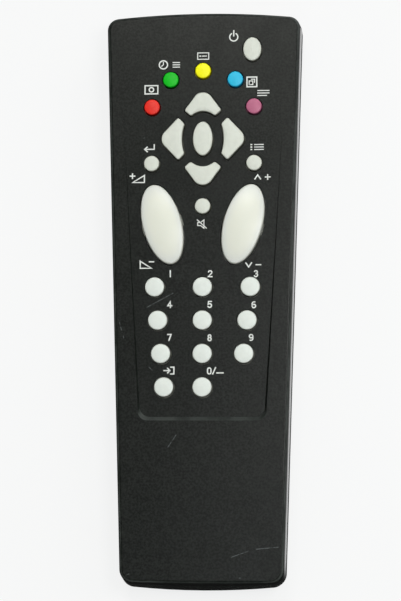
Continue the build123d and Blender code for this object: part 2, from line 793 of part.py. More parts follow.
leg_bend = leg_diameter * 4 / 5
leg_drop = board_bottom - leg_diameter / 2
with BuildPart() as led_legs:
    for side in (-1, 1):
        leg_x = side * leg_pitch / 2
        with BuildLine() as leg_path:
            FilletPolyline((leg_x, led_back, led_z), (leg_x, led_back - leg_diameter, led_z),
                           (leg_x, led_back - leg_diameter, leg_drop),
                           (leg_x, led_back - led_rim, leg_drop), radius=leg_bend)
        with BuildSketch(Plane((leg_x, led_back, led_z), z_dir=(0, -1, 0))):
            Circle(leg_diameter / 2)
        sweep(path=leg_path.line)
led_legs.part.label = "led_legs"
export_step(led_legs.part, "parts/led_legs.step")


# Small parts under the board
with BuildPart() as ceramic_resonator:
    with BuildSketch(Plane((*place_from_pad(resonator_place), board_bottom - resonator_height))):
        RectangleRounded(resonator_width, resonator_depth, resonator_depth / 4)
    extrude(amount=resonator_height)
    fillet(ceramic_resonator.faces().sort_by(Axis.Z)[0].edges(), resonator_depth / 8)
ceramic_resonator.part.label = "ceramic_resonator"
export_step(ceramic_resonator.part, "parts/ceramic_resonator.step")

with BuildPart() as storage_capacitor:
    with BuildSketch(Plane((*place_from_pad(capacitor_place), board_bottom - capacitor_height))):
        Circle(capacitor_diameter / 2)
    extrude(amount=capacitor_height)
    fillet(storage_capacitor.faces().sort_by(Axis.Z)[0].edges(), capacitor_diameter / 16)
storage_capacitor.part.label = "storage_capacitor"
export_step(storage_capacitor.part, "parts/storage_capacitor.step")

with BuildPart() as drive_transistor:
    with BuildSketch(Plane((*place_from_pad(transistor_place), board_bottom - transistor_height))):
        Circle(transistor_width / 2)
        with Locations((0, transistor_width / 4)):
            Rectangle(transistor_width, transistor_width, align=(Align.CENTER, Align.MIN),
                      mode=Mode.SUBTRACT)
    extrude(amount=transistor_height)
drive_transistor.part.label = "drive_transistor"
export_step(drive_transistor.part, "parts/drive_transistor.step")

with BuildPart() as resistors:
    with BuildSketch(Plane((*place_from_pad(resistor_place), board_bottom - resistor_thickness))):
        with GridLocations(resistor_pitch, 2 * resistor_pitch, resistor_columns, resistor_rows):
            Rectangle(resistor_width, resistor_length)
    extrude(amount=resistor_thickness)
resistors.part.label = "resistors"
export_step(resistors.part, "parts/resistors.step")


# Battery terminals against the head wall of the bay, each with a tab out to the board
plate_bottom = cell_z - cell_diameter / 2 + bay_roof_clearance
tab_bottom = board_bottom - plate_thickness
for name, side in (("positive_terminal", -1), ("negative_terminal", 1)):
    with BuildPart() as terminal:
        with BuildSketch(Plane.XY.offset(plate_bottom)):
            with Locations((side * cell_pitch / 2, bay_head)):
                Rectangle(plate_width, plate_thickness, align=(Align.CENTER, Align.MAX))
        extrude(amount=board_bottom - plate_bottom)
        with BuildSketch(Plane.XY.offset(tab_bottom)):
            with Locations((side * cell_pitch / 2, bay_head - plate_thickness)):
                Rectangle(tab_width, board_tail - bay_head + plate_thickness + tab_width,
                          align=(Align.CENTER, Align.MIN))
        extrude(amount=plate_thickness)
    terminal.part.label = name
    export_step(terminal.part, f"parts/{name}.step")

# The link that joins the two cells at the tail end of the bay
with BuildPart() as series_link:
    with BuildSketch(Plane.XY.offset(plate_bottom)):
        with Locations((0, bay_tail)):
            Rectangle(cell_pitch + plate_width, plate_thickness, align=(Align.CENTER, Align.MIN))
    extrude(amount=board_bottom - plate_bottom)
series_link.part.label = "series_link"
export_step(series_link.part, "parts/series_link.step")


# Cells: the left one has its positive cap at the head end, the right one at the tail end
cells = {"cell_left": (-1, bay_head - plate_thickness - fit, -1),
         "cell_right": (1, bay_tail + plate_thickness + fit, 1)}
for name, (side, cap_y, along) in cells.items():
    can_plane = Plane((side * cell_pitch / 2, cap_y + along * cell_button_height, cell_z),
                      x_dir=(1, 0, 0), z_dir=(0, along, 0))
    with BuildPart() as cell:
        with BuildSketch(can_plane):
            Circle(cell_diameter / 2)
        extrude(amount=cell_length - cell_button_height)
        fillet(cell.edges().filter_by(GeomType.CIRCLE), can_edge)
    cell.part.label = name
    export_step(cell.part, f"parts/{name}.step")

with BuildPart() as cell_terminals:
    for side, cap_y, along in cells.values():
        with BuildSketch(Plane((side * cell_pitch / 2, cap_y, cell_z), x_dir=(1, 0, 0),
                               z_dir=(0, along, 0))):
            Circle(cell_button / 2)
        extrude(amount=cell_button_height)
cell_terminals.part.label = "cell_terminals"
export_step(cell_terminals.part, "parts/cell_terminals.step")


def spring_path(x, foot_y, along, length):
    """The middle line of a conical spring on a plate: each half turn of its helix is a pair of
    arcs that leave one point and reach the next along the helix's own direction."""
    def point(turn):
        radius = spring_base_radius + (spring_top_radius - spring_base_radius) * turn / spring_turns
        angle = 2 * math.pi * turn
        return Vector(x + radius * math.cos(angle), foot_y + along * length * turn / spring_turns,
                      cell_z + radius * math.sin(angle))

    def heading(turn):
        small_turn = 0.001
        return (point(turn + small_turn) - point(turn - small_turn)).normalized()

    with BuildLine() as path:
        for half in range(2 * spring_turns):
            start, end = half / 2, (half + 1) / 2
            chord = point(end) - point(start)
            both = heading(start) + heading(end)
            spread = 2 * (1 - heading(start).dot(heading(end)))
            along_both = chord.dot(both)
            reach = (math.sqrt(along_both ** 2 + spread * chord.dot(chord)) - along_both) / spread
            middle = (point(start) + point(end) + (heading(start) - heading(end)) * reach) * 0.5
            first = TangentArc(point(start), middle, tangent=heading(start))
            TangentArc(middle, point(end), tangent=first % 1)
    return path.line


# Battery springs: one for the flat end of each cell
with BuildPart() as battery_springs:
    spring_room = bay_length - 2 * plate_thickness - fit - cell_length - 2 * fit - spring_wire
    for x, foot_y, along in ((cell_pitch / 2, bay_head - plate_thickness - fit / 2, -1),
                             (-cell_pitch / 2, bay_tail + plate_thickness + fit / 2, 1)):
        wire = spring_path(x, foot_y + along * spring_wire / 2, along, spring_room)
        with BuildSketch(wire ^ 0):
            Circle(spring_wire / 2)
        sweep(path=wire)
battery_springs.part.label = "battery_springs"
export_step(battery_springs.part, "parts/battery_springs.step")
wire_length = 2 * sum(edge.length for edge in wire.edges())
print("least gap between spring turns", round(spring_room / spring_turns - spring_wire, 2))
print("spring wire volume", round(math.pi * spring_wire ** 2 / 4 * wire_length, 2),
      "and as swept", round(battery_springs.part.volume, 2))


def screw_set(places, seat, head, head_height, diameter, length):
    """Pan-head screws pointing up, each with a cross recess under its head."""
    with BuildPart() as screws:
        with BuildSketch(Plane.XY.offset(seat - head_height)):
            with Locations(*places):
                Circle(head / 2)
        extrude(amount=head_height)
        fillet(screws.edges().group_by(Axis.Z)[0], head_height / 4)
        with BuildSketch(Plane.XY.offset(seat)):
            with Locations(*places):
                Circle(diameter / 2)
        extrude(amount=length)
        with BuildSketch(Plane.XY.offset(seat - head_height)):
            with Locations(*places):
                Rectangle(head * cross_length, head * cross_width)
                Rectangle(head * cross_width, head * cross_length)
        extrude(amount=head_height / 2, mode=Mode.SUBTRACT)
    return screws


# Case screws, from the ledge in the battery bay up into the front case
case_screws = screw_set(case_screws_at, screw_seat, screw_head, screw_head_height,
                        screw_diameter, screw_length)
case_screws.part.label = "case_screws"
export_step(case_screws.part, "parts/case_screws.step")

# Board screws, from under the board up into the front case
board_screws = screw_set(board_screws_at, board_bottom, board_screw_head, board_screw_head_height,
                         board_screw_diameter, board_screw_length)
board_screws.part.label = "board_screws"
export_step(board_screws.part, "parts/board_screws.step")
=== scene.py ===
# %% [markdown]
# # A television remote control, lying on its back
#
# The construction of this remote is already made: every shell, key, screw and spring stands where
# it belongs, at its real size, in one shared frame. This script makes it look real. It loads that
# frame, sets up a camera, a floor and soft lamps, gives each surface a material worked out by
# nodes, and puts finer meshes in the place of the pieces that show the most.
#
# Everything is in metres. X runs to the right, Y towards the head end with the infrared window,
# and Z up. Small sizes are easier to read in millimetres, so they are written as a number times mm.

# %% Load the frame
import math

import bmesh
import bpy
import numpy as np
from mathutils import Matrix, Vector


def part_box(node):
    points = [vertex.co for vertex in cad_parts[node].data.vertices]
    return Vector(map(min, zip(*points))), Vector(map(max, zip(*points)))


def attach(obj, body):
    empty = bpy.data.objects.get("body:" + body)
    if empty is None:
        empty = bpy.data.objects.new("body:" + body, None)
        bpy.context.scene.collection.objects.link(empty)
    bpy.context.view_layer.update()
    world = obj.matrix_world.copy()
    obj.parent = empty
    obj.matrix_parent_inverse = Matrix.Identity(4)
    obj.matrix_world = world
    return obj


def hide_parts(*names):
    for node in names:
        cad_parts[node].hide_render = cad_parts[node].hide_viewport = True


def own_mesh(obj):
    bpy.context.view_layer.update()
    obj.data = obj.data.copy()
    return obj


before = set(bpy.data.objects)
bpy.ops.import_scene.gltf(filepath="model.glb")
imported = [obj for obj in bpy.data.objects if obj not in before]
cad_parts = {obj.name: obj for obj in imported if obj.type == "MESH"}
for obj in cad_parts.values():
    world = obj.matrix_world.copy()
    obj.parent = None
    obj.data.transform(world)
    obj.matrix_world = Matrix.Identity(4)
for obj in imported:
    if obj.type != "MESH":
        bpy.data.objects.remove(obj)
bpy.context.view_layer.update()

mm = 0.001
case_low, case_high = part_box("front_case")
print("pieces in the frame:", len(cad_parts))

# %% [markdown]
# ## The camera
#
# The remote is seen from almost straight above, by a camera that stands a little to its right and
# towards its tail, so that a thin strip of the right side and of the tail end shows. A camera can
# be aimed with a Track To constraint or by its angles. Here its three axes are worked out from
# where it stands and what it looks at, and written straight into its matrix, because that keeps
# the small roll of the picture as one plain number.

# %% Camera
look_at = Vector((-0.48, -1.24, 22.0)) * mm
camera_place = look_at + Vector((58.0, -70.0, 700.0)) * mm
camera_roll = math.radians(0.237)
lens_length = 126.87


def aimed(place, target, roll=0.0):
    """A matrix at a place whose minus Z axis points at the target. Its Y axis is the direction of
    the head end as seen from there, turned by the roll."""
    forward = (target - place).normalized()
    right = forward.cross(Vector((0, 1, 0))).normalized()
    up = right.cross(forward)
    turned_right = math.cos(roll) * right + math.sin(roll) * up
    turned_up = math.cos(roll) * up - math.sin(roll) * right
    axes = Matrix((turned_right, turned_up, -forward)).transposed()
    return Matrix.Translation(place) @ axes.to_4x4()


camera_data = bpy.data.cameras.new("camera")
camera_data.lens = lens_length
camera_data.clip_start = 10 * mm
camera = bpy.data.objects.new("camera", camera_data)
camera.matrix_world = aimed(camera_place, look_at, camera_roll)
bpy.context.scene.collection.objects.link(camera)
bpy.context.scene.camera = camera
print("camera stands", round((camera_place - look_at).length, 3), "m away")

# %% [markdown]
# ## Building materials from nodes
#
# A material is a small program: nodes work out a number or a colour at each point of a surface and
# hand it to the shader. Adding nodes and links one call at a time gets long, so two small classes
# keep a tree of nodes together and offer the few steps that every finish here uses: arithmetic,
# noise, a change of range, a mix of two colours and a bump. All patterns read Object coordinates,
# which are the real places on the piece in metres, so a grain of 0.3 mm is a noise with a scale of
# 1 / 0.3 mm.

# %% Colours and nodes
def srgb(red, green, blue):
    """A screen colour from 0 to 255 as the linear colour that shaders use."""

    def linear(part):
        """One part of it: a straight line near black, and above it a power of 2.4."""
        part /= 255
        return part / 12.92 if part <= 0.04045 else ((part + 0.055) / 1.055) ** 2.4
    return (linear(red), linear(green), linear(blue), 1.0)


class Nodes:
    """A tree of nodes while it is put together."""

    def __init__(self, tree):
        self.tree = tree

    def feed(self, socket, value):
        """Gives an input a number or a colour, or links it to the socket that feeds it."""
        if isinstance(value, bpy.types.NodeSocket):
            self.tree.links.new(value, socket)
        else:
            socket.default_value = value

    def add(self, kind, inputs=None, **settings):
        """A node of a kind, with its settings, and with values or sockets for its inputs."""
        node = self.tree.nodes.new(kind)
        for key, value in settings.items():
            setattr(node, key, value)
        for key, value in (inputs or {}).items():
            self.feed(node.inputs[key], value)
        return node

    def maths(self, operation, a, b=0.0):
        """A step of arithmetic on one or two numbers."""
        return self.add("ShaderNodeMath", {0: a, 1: b}, operation=operation).outputs[0]

    def product(self, first, *others):
        """Several numbers multiplied, which for shares means where all of them hold."""
        for other in others:
            first = self.maths("MULTIPLY", first, other)
        return first

    def largest(self, first, *others):
        """The largest of several numbers, which for shares means where any of them holds."""
        for other in others:
            first = self.maths("MAXIMUM", first, other)
        return first

    def apart(self, value, middle):
        """How far a number is from another one: the size of their difference."""
        return self.maths("ABSOLUTE", self.maths("SUBTRACT", value, middle))

    def vector(self, operation, a, b=(0, 0, 0), result="Vector"):
        """A step of vector arithmetic, whose result is a vector or a value."""
        return self.add("ShaderNodeVectorMath", {0: a, 1: b}, operation=operation).outputs[result]

    def spread(self, value, low, high, to_low=0.0, to_high=1.0, kind="SMOOTHSTEP"):
        """Maps a range of a value to another range, softly, and stays inside it."""
        return self.add("ShaderNodeMapRange", {0: value, 1: low, 2: high, 3: to_low, 4: to_high},
                        interpolation_type=kind).outputs[0]

    def rays(self):
        """Two numbers: 1 for rays from the camera, and 1 for rays from gloss or glass."""
        path = self.add("ShaderNodeLightPath").outputs
        return path["Is Camera Ray"], self.largest(path["Is Glossy Ray"],
                                                   path["Is Transmission Ray"])


print("a mid grey on the screen is", round(srgb(128, 128, 128)[0], 3), "in a shader")

# %% Finishes
class Finish(Nodes):
    """One material while it is put together."""

    def __init__(self, name, **shader_values):
        self.material = bpy.data.materials.new(name)
        self.material.use_nodes = True
        super().__init__(self.material.node_tree)
        self.shader = self.tree.nodes["Principled BSDF"]
        self.place = self.add("ShaderNodeTexCoord").outputs["Object"]
        self.normal = None
        for socket, value in shader_values.items():
            self.set(socket.replace("_", " "), value)

    def set(self, socket, value):
        """Gives an input of the shader a value or a socket."""
        self.feed(self.shader.inputs[socket], value)

    def axis(self, letter, vector=None):
        """One of the three numbers of a vector, or of the place on the piece."""
        return self.add("ShaderNodeSeparateXYZ", {0: vector or self.place}).outputs[letter]

    def upward(self):
        """How far the surface faces up: 1 where it is level and 0 on an upright wall."""
        return self.axis("Z", self.add("ShaderNodeNewGeometry").outputs["Normal"])

    def edge(self):
        """The number called edge that a mesh keeps on its points: on a key or a rocker its share of
        painted shade, on a turned piece how far along its axis a point lies.
        """
        return self.add("ShaderNodeAttribute", attribute_name="edge").outputs["Fac"]

    def stretched(self, scale, turn=(0, 0, 0)):
        """Object coordinates scaled along each axis, so that a pattern comes out longer one way."""
        return self.add("ShaderNodeMapping", {"Vector": self.place, "Scale": scale,
                                              "Rotation": turn}).outputs[0]

    def noise(self, size, detail=2.0, place=None):
        """Cloudy noise from 0 to 1 whose blobs are about that size in metres."""
        return self.add("ShaderNodeTexNoise", {"Vector": place or self.place, "Scale": 1 / size,
                                               "Detail": detail}).outputs["Fac"]

    def mottle(self, size, detail=2.0, low=0.0, high=1.0, place=None):
        """The same noise, with its middle values drawn out to fill a range from low to high."""
        return self.spread(self.noise(size, detail, place), 0.3, 0.7, low, high)

    def cells(self, size):
        """Distance to the nearest of many scattered points, about that size in metres apart."""
        return self.add("ShaderNodeTexVoronoi", {"Vector": self.place,
                                                 "Scale": 1 / size}).outputs["Distance"]

    def blend(self, share, first, second):
        """A mix of two colours: the first where the share is 0 and the second where it is 1."""
        node = self.add("ShaderNodeMix", {0: share, 6: first, 7: second}, data_type="RGBA")
        return node.outputs[2]

    def paint(self, share, first, second):
        """Colours the piece with such a mix."""
        self.set("Base Color", self.blend(share, first, second))

    def bump(self, height, distance, strength):
        """Tips the surface as if it stood up by a height from 0 to 1 times a distance, on top of
        the bumps it has already."""
        inputs = {"Height": height, "Distance": distance, "Strength": strength}
        if self.normal:
            inputs["Normal"] = self.normal
        self.normal = self.add("ShaderNodeBump", inputs).outputs["Normal"]
        self.set("Normal", self.normal)


print("steps of a finish:", [step for step in vars(Finish) if not step.startswith("_")])

# %% [markdown]
# ## Floor, world and lamps
#
# The remote lies on a plain pale surface. The floor is an ordinary matt white plane, so it takes
# the soft shadow of the remote. To keep it as light as paper without burning out the keys, most of
# what the camera sees of it is a plain colour that no lamp adds to: the Light Path node tells the
# camera's rays from the ones that carry light. Gloss and glass see that colour too, on the right of
# the remote, where the wall of the front shell mirrors the bright paper as a thin light strip. On
# the other sides, and right beside the foot of the wall, they see it dim, as in its shadow.
# Seen from below the floor is clear, and the patch that the remote covers glows, so that its back
# is lit when it is looked at from there. From above nothing of that patch shows.
#
# The world gives a plain light that is stronger from the window's side, so that the paper close to
# the tail end lies in the shadow of the case. What a shiny surface sees in it is pale towards the
# window, to the right and the head end, and dim on the other sides and overhead, because black
# plastic only looks black where nothing bright is mirrored in it.
#
# The lamps are soft. The window stands far off at the head end and to the right. One softbox hangs
# beyond the head end and one straight above: their reflections are the soft patches near the two
# ends of the glossy rockers. One on the right lights the right half of the black top more than the
# left half, and a small one close over the tail end lifts that end a little.

# %% Floor
floor_size = 4.0
floor_drop = 0.05 * mm
paper = (0.945, 0.95, 0.95, 1.0)
plain_share = 0.86
floor_dim, floor_bright = 0.03, 0.85
strip_start, strip_full = 0.75 * mm, 1.3 * mm
tail_fade = 12 * mm
tail_half_width = 27.4 * mm
covered_side, covered_end = 1.2 * mm, 3 * mm
corners = ((-1, -1), (1, -1), (1, 1), (-1, 1))


def paper_floor():
    """Matt white that keeps part of its shadow. It glows for gloss to the right of the case and
    for every ray under it, and is clear from below. The case's half width grows in proportion to
    Y from the tail to the head, and beyond is how far a point lies outside it."""
    finish = Finish("paper_floor", Base_Color=paper, Roughness=0.9, Specular_IOR_Level=0.1)
    finish.bump(finish.noise(0.5 * mm, 3.0), 0.01 * mm, 0.3)
    seen, mirrored = finish.rays()
    x, y = finish.axis("X"), finish.axis("Y")
    half_width = finish.spread(y, case_low.y, case_high.y, tail_half_width, case_high.x, "LINEAR")
    beyond = finish.maths("SUBTRACT", finish.maths("ABSOLUTE", x), half_width)
    right = finish.product(finish.spread(beyond, strip_start, strip_full),
                           finish.maths("GREATER_THAN", x, 0.0),
                           finish.spread(y, case_low.y, case_low.y + tail_fade))
    inside = finish.maths("LESS_THAN", finish.maths("ABSOLUTE", y), case_high.y - covered_end)
    covered = finish.product(finish.maths("LESS_THAN", beyond, -covered_side), inside)
    level = finish.largest(finish.spread(right, 0, 1, floor_dim, floor_bright), seen, covered)
    glow = finish.add("ShaderNodeEmission", {"Color": paper, "Strength": level})
    share = finish.largest(finish.product(seen, plain_share), mirrored, covered)
    mixed = finish.add("ShaderNodeMixShader", {0: share, 1: finish.shader.outputs[0],
                                               2: glow.outputs[0]})
    clear = finish.add("ShaderNodeBsdfTransparent")
    below = finish.add("ShaderNodeNewGeometry").outputs["Backfacing"]
    both = finish.add("ShaderNodeMixShader", {0: below, 1: mixed.outputs[0], 2: clear.outputs[0]})
    finish.feed(finish.tree.nodes["Material Output"].inputs["Surface"], both.outputs[0])
    return finish.material


floor_mesh = bpy.data.meshes.new("floor")
floor_mesh.from_pydata([(x * floor_size / 2, y * floor_size / 2, -floor_drop) for x, y in corners],
                       [], [(0, 1, 2, 3)])
floor_mesh.materials.append(paper_floor())
floor = bpy.data.objects.new("floor", floor_mesh)
bpy.context.scene.collection.objects.link(floor)
print("floor", floor_size, "m wide, of colour", paper[:3])

# %% World
world_weak, world_strong = 0.18, 0.50
window_reach = 0.9
sky_dim, sky_bright = 0.03, 0.95
sky_tint = (0.98, 1.0, 1.0, 1.0)
window_side = (0.66, 0.75, 0.0)
window_start, window_full = 0.35, 0.80


def studio_world():
    """A plain light, which gloss sees as bright on the window side and dim elsewhere. How far a
    direction points towards the window is its dot product with the window's side."""
    world = bpy.data.worlds.new("studio")
    world.use_nodes = True
    background = world.node_tree.nodes["Background"]
    background.inputs["Color"].default_value = sky_tint
    sky = Nodes(world.node_tree)
    direction = sky.add("ShaderNodeTexCoord").outputs["Generated"]
    towards = sky.vector("DOT_PRODUCT", direction, window_side, "Value")
    mirrored_sky = sky.spread(towards, window_start, window_full, sky_dim, sky_bright)
    plain_sky = sky.spread(towards, -window_reach, window_reach, world_weak, world_strong)
    seen, mirrored = sky.rays()
    level = sky.spread(mirrored, 0, 1, plain_sky, mirrored_sky, "LINEAR")
    level = sky.spread(seen, 0, 1, level, paper[0], "LINEAR")
    sky.feed(background.inputs["Strength"], level)
    return world


bpy.context.scene.world = studio_world()
bpy.context.scene.view_settings.view_transform = "Standard"
print("world light", world_weak, "to", world_strong)

# %% Lamps
def softbox(name, place, size, share, colour):
    """A square lamp aimed at the remote. Its power is worked out from the share of the floor's
    light that it gives: a lamp of power P at a distance d, whose light arrives at an angle a to
    the upright, lights white paper to P cos(a) / (pi d) squared, with d squared and pi squared."""
    place = Vector(place)
    distance = place.length
    data = bpy.data.lights.new(name, "AREA")
    data.size = size
    data.energy = share * (math.pi * distance) ** 2 * distance / place.z
    data.color = colour
    lamp = bpy.data.objects.new(name, data)
    lamp.matrix_world = aimed(place, Vector((0, 0, 0)))
    bpy.context.scene.collection.objects.link(lamp)
    return lamp


# Each has a place and a size in metres, its share of the light and a colour
lamps = {
    "window": ((0.85, 0.95, 0.80), 0.7, 0.08, (1.0, 1.0, 0.98)),
    "head_softbox": ((-0.03, 0.45, 0.90), 0.22, 0.21, (1.0, 1.0, 0.95)),
    "side_softbox": ((0.18, 0.03, 0.60), 0.14, 0.29, (1.0, 1.0, 0.99)),
    "top_softbox": ((0.03, 0.02, 1.00), 0.12, 0.042, (1.0, 1.0, 1.0)),
    "tail_softbox": ((0.004, -0.138, 0.45), 0.08, 0.038, (0.93, 0.96, 1.0)),
}
for name, settings in lamps.items():
    lamp = softbox(name, *settings)
    print(name, round(lamp.data.energy, 1), "W")

# %% [markdown]
# ## Black moulded plastic
#
# The shells are moulded in black plastic whose mould was etched to a fine matt grain, so the
# surface is a field of tiny bumps about a third of a millimetre apart. It could be drawn as real
# bumps, at the cost of millions of faces, so a bump map carries it. Clouds of noise vary how shiny
# it is, as handling does. The rounded edges are painted a little lighter, partly as wear and partly
# as a painted highlight, which is read from how far the surface faces up. The side walls, which
# slid out of a smooth part of the mould, are shinier than the top. Scratches are drawn as straight
# strokes: each is the distance of a point to a line segment, so it is as thin and as long as the
# real one wherever it lies.

# %% Scratches
# From X and Y to X and Y in mm
scratches = [
    ((9.90, -86.18), (15.52, -84.17)),
    ((18.16, -83.49), (25.43, -82.78)),
    ((-18.64, -3.21), (-9.92, 1.47)),
    ((-11.26, -49.98), (-8.61, -45.99)),
    ((-17.81, -23.34), (-16.80, -24.34)),
    ((-28.04, -7.57), (-26.30, -13.62)),
    ((-24.64, -92.05), (-23.96, -91.85)),
    ((12.08, -93.05), (12.94, -92.95)),
    ((29.74, 81.34), (29.79, 81.50)),
    ((-19.98, 54.02), (-19.86, 54.15)),
]
scratch_width = 0.18 * mm


def stroke(finish, start, end):
    """1 on a scratch from start to end, seen from above, and 0 away from it. The nearest point of
    the segment is start + t (end - start), where t is the dot product of (point - start) and
    (end - start) over the segment's length squared, kept between 0 and 1."""
    start, end = Vector((*start, 0)) * mm, Vector((*end, 0)) * mm
    along = end - start
    flat = finish.vector("MULTIPLY", finish.place, (1, 1, 0))
    from_start = finish.vector("SUBTRACT", flat, start)
    dot = finish.vector("DOT_PRODUCT", from_start, along / along.length_squared, "Value")
    share = finish.largest(finish.maths("MINIMUM", dot, 1.0), 0.0)
    nearest = finish.add("ShaderNodeVectorMath", {0: along, "Scale": share},
                         operation="SCALE").outputs[0]
    away = finish.vector("DISTANCE", from_start, nearest, "Value")
    return finish.spread(away, 0.0, scratch_width, 1.0, 0.0)


print("scratches:", len(scratches))

# %% Plastic
scratch_grey = srgb(150, 158, 158)
wall_top = 17.5 * mm
wall_blend = 1.5 * mm
wall_gloss = 0.25
# Share and colour of the lighter edges: partly wear and partly a painted highlight.
edge_wear_and_highlight = 0.40
wear_and_highlight_grey = srgb(92, 97, 94)
plastic_dark = (0.0018, 0.0029, 0.0019, 1.0)
plastic_light = (0.0118, 0.0144, 0.0120, 1.0)


def moulded_black(name, shine, roughness, wall_share=1.0, scratched=()):
    """Etched black plastic with a fine grain, worn clouds, scratches, and edges painted lighter,
    partly as wear and partly as a painted highlight. On the walls its roughness is multiplied by
    wall_share."""
    finish = Finish(name, IOR=1.45, Specular_IOR_Level=shine)
    clouds = finish.noise(9 * mm, 4.0)
    speckle = finish.noise(0.7 * mm, 4.0)
    colour = finish.blend(finish.spread(speckle, 0.32, 0.68), plastic_dark, plastic_light)
    up = finish.upward()
    # Lighter edges, partly wear and partly a painted highlight: where the surface turns from level
    # towards upright, in patches.
    rubbed_and_highlit = finish.product(finish.spread(up, 0.45, 0.75),
                            finish.spread(up, 0.88, 0.99, edge_wear_and_highlight, 0.0),
                            finish.spread(clouds, 0.40, 0.60, 0.45, 1.0))
    colour = finish.blend(rubbed_and_highlit, colour, wear_and_highlight_grey)
    top = finish.spread(finish.axis("Z"), wall_top - wall_blend, wall_top)
    worn = finish.product(finish.spread(clouds, 0.35, 0.75, roughness - 0.03, roughness + 0.05),
                          finish.spread(top, 0, 1, wall_share, 1.0))
    finish.bump(finish.cells(0.34 * mm), 0.030 * mm, finish.spread(top, 0, 1, 0.04, 0.40))
    finish.bump(finish.noise(2.2 * mm, 3.0), 0.02 * mm, 0.25)
    if scratched:
        marks = finish.largest(*[stroke(finish, start, end) for start, end in scratched])
        marks = finish.product(marks, finish.spread(finish.noise(0.8 * mm, 3.0), 0.35, 0.6))
        colour = finish.blend(finish.product(marks, 0.40), colour, scratch_grey)
        worn = finish.maths("SUBTRACT", worn, finish.product(marks, 0.15))
        finish.bump(marks, -0.02 * mm, 0.8)
    finish.set("Base Color", colour)
    finish.set("Roughness", worn)
    return finish.material


front_plastic = moulded_black("front_plastic", 0.20, 0.33, wall_gloss, scratches)
rear_plastic = moulded_black("rear_plastic", 0.03, 0.8)
print("black plastics:", front_plastic.name, rear_plastic.name)

# %% [markdown]
# ## The shells
#
# The two halves of the case and the battery cover have the right shape already, but their edges
# are as sharp as a knife, and no moulded edge is. A hair of rounding is what makes an edge catch
# the light. Each shell is copied, its loose triangles are merged and its flat areas joined, and a
# Bevel modifier rounds every edge that is left. A Weighted Normal modifier then lets the large
# faces decide how the surface is shaded, so that the flat top looks flat right up to its edges.

# %% Placing a piece
smooth_angle = 35.0


def place_piece(name, mesh, material, body, slot, *stands_for, smooth=smooth_angle):
    """Puts a new mesh into the scene as a piece of the object. It is shaded smooth, except across
    edges sharper than an angle in degrees, or left flat without an angle."""
    if smooth:
        mesh.polygons.foreach_set("use_smooth", np.ones(len(mesh.polygons), bool))
        mesh.set_sharp_from_angle(angle=math.radians(smooth))
    piece = bpy.data.objects.new(name, mesh)
    bpy.context.scene.collection.objects.link(piece)
    mesh.materials.clear()
    mesh.materials.append(material)
    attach(piece, body)
    if stands_for:
        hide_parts(*stands_for)
    return piece


print("faces are shaded smooth up to", smooth_angle, "degrees")

# %% Shells
edge_round = 0.18 * mm
doubles_within = 0.001 * mm
flat_within = math.radians(0.4)


def rounded_copy(node, material, body):
    """A copy of a node with its doubles merged, its flat areas joined and its edges rounded."""
    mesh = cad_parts[node].data.copy()
    work = bmesh.new()
    work.from_mesh(mesh)
    bmesh.ops.remove_doubles(work, verts=work.verts, dist=doubles_within)
    bmesh.ops.dissolve_limit(work, angle_limit=flat_within, verts=work.verts, edges=work.edges)
    work.to_mesh(mesh)
    work.free()
    piece = place_piece(node + "_shell", mesh, material, body, "case", node)
    bevel = piece.modifiers.new("edges", "BEVEL")
    bevel.width = edge_round
    bevel.segments = 2
    bevel.limit_method = "ANGLE"
    bevel.angle_limit = math.radians(smooth_angle)
    piece.modifiers.new("normals", "WEIGHTED_NORMAL").keep_sharp = True
    return piece


shells = [
    ("front_case", front_plastic, "case"),
    ("rear_case", rear_plastic, "case"),
    ("battery_cover", rear_plastic, "battery_cover"),
]
for shell in shells:
    piece = rounded_copy(*shell)
    print(piece.name, len(piece.data.polygons), "faces before rounding")

# %% [markdown]
# ## Silicone keys
#
# The keys are soft silicone: a milky body with a satin skin. The light sinks a little way in, so
# the edges glow a little, and painted shade darkens the walls of each cap and the start of its
# rounded edge. Each colour is one material from the same recipe. The keys beside the digits are a
# cool grey, and the other plain keys a slightly warmer one.

# %% Silicone
def silicone(name, colour, rim, cloud=0.12):
    """Satin silicone of a colour. Soft clouds mix up to a share of the rim colour into it, and
    where the mesh's edge number is high, on the walls of a cap and the start of its rounded edge,
    it takes the rim colour as painted shade."""
    finish = Finish(name, IOR=1.41, Specular_IOR_Level=0.35, Subsurface_Weight=0.1,
                    Subsurface_Radius=(1.2, 1.1, 1.0), Subsurface_Scale=0.6 * mm)
    # Painted shade: the rim colour on the walls of a cap and the start of its rounded edge.
    body = finish.blend(finish.edge(), colour, rim)
    finish.paint(finish.mottle(1.6 * mm, 3.0, 0.0, cloud), body, rim)
    finish.set("Roughness", finish.mottle(2.5 * mm, 2.0, 0.36, 0.48))
    finish.bump(finish.noise(0.25 * mm), 0.006 * mm, 0.35)
    finish.bump(finish.noise(1.8 * mm), 0.02 * mm, 0.2)
    return finish.material


# Each colour has a second, darker one: the rim colour, painted on the walls of a cap as shade.
key_colours = {
    "red": (srgb(230, 47, 33), srgb(176, 20, 18)),
    "green": (srgb(0, 191, 24), srgb(0, 128, 20)),
    "yellow": (srgb(252, 250, 10), srgb(206, 196, 6)),
    "blue": (srgb(44, 189, 226), srgb(24, 130, 178)),
    "purple": (srgb(185, 105, 134), srgb(138, 68, 98)),
}
colour_silicone = {"key_" + colour: silicone(colour + "_silicone", *shades)
                   for colour, shades in key_colours.items()}
# The second colour of each grey is its rim colour, painted on the walls of a cap as shade.
grey_silicone = silicone("grey_silicone", srgb(223, 229, 223), srgb(134, 135, 125), 0.06)
warm_silicone = silicone("warm_grey_silicone", srgb(214, 218, 208), srgb(130, 131, 118), 0.08)
print("coloured keys:", sorted(colour_silicone))

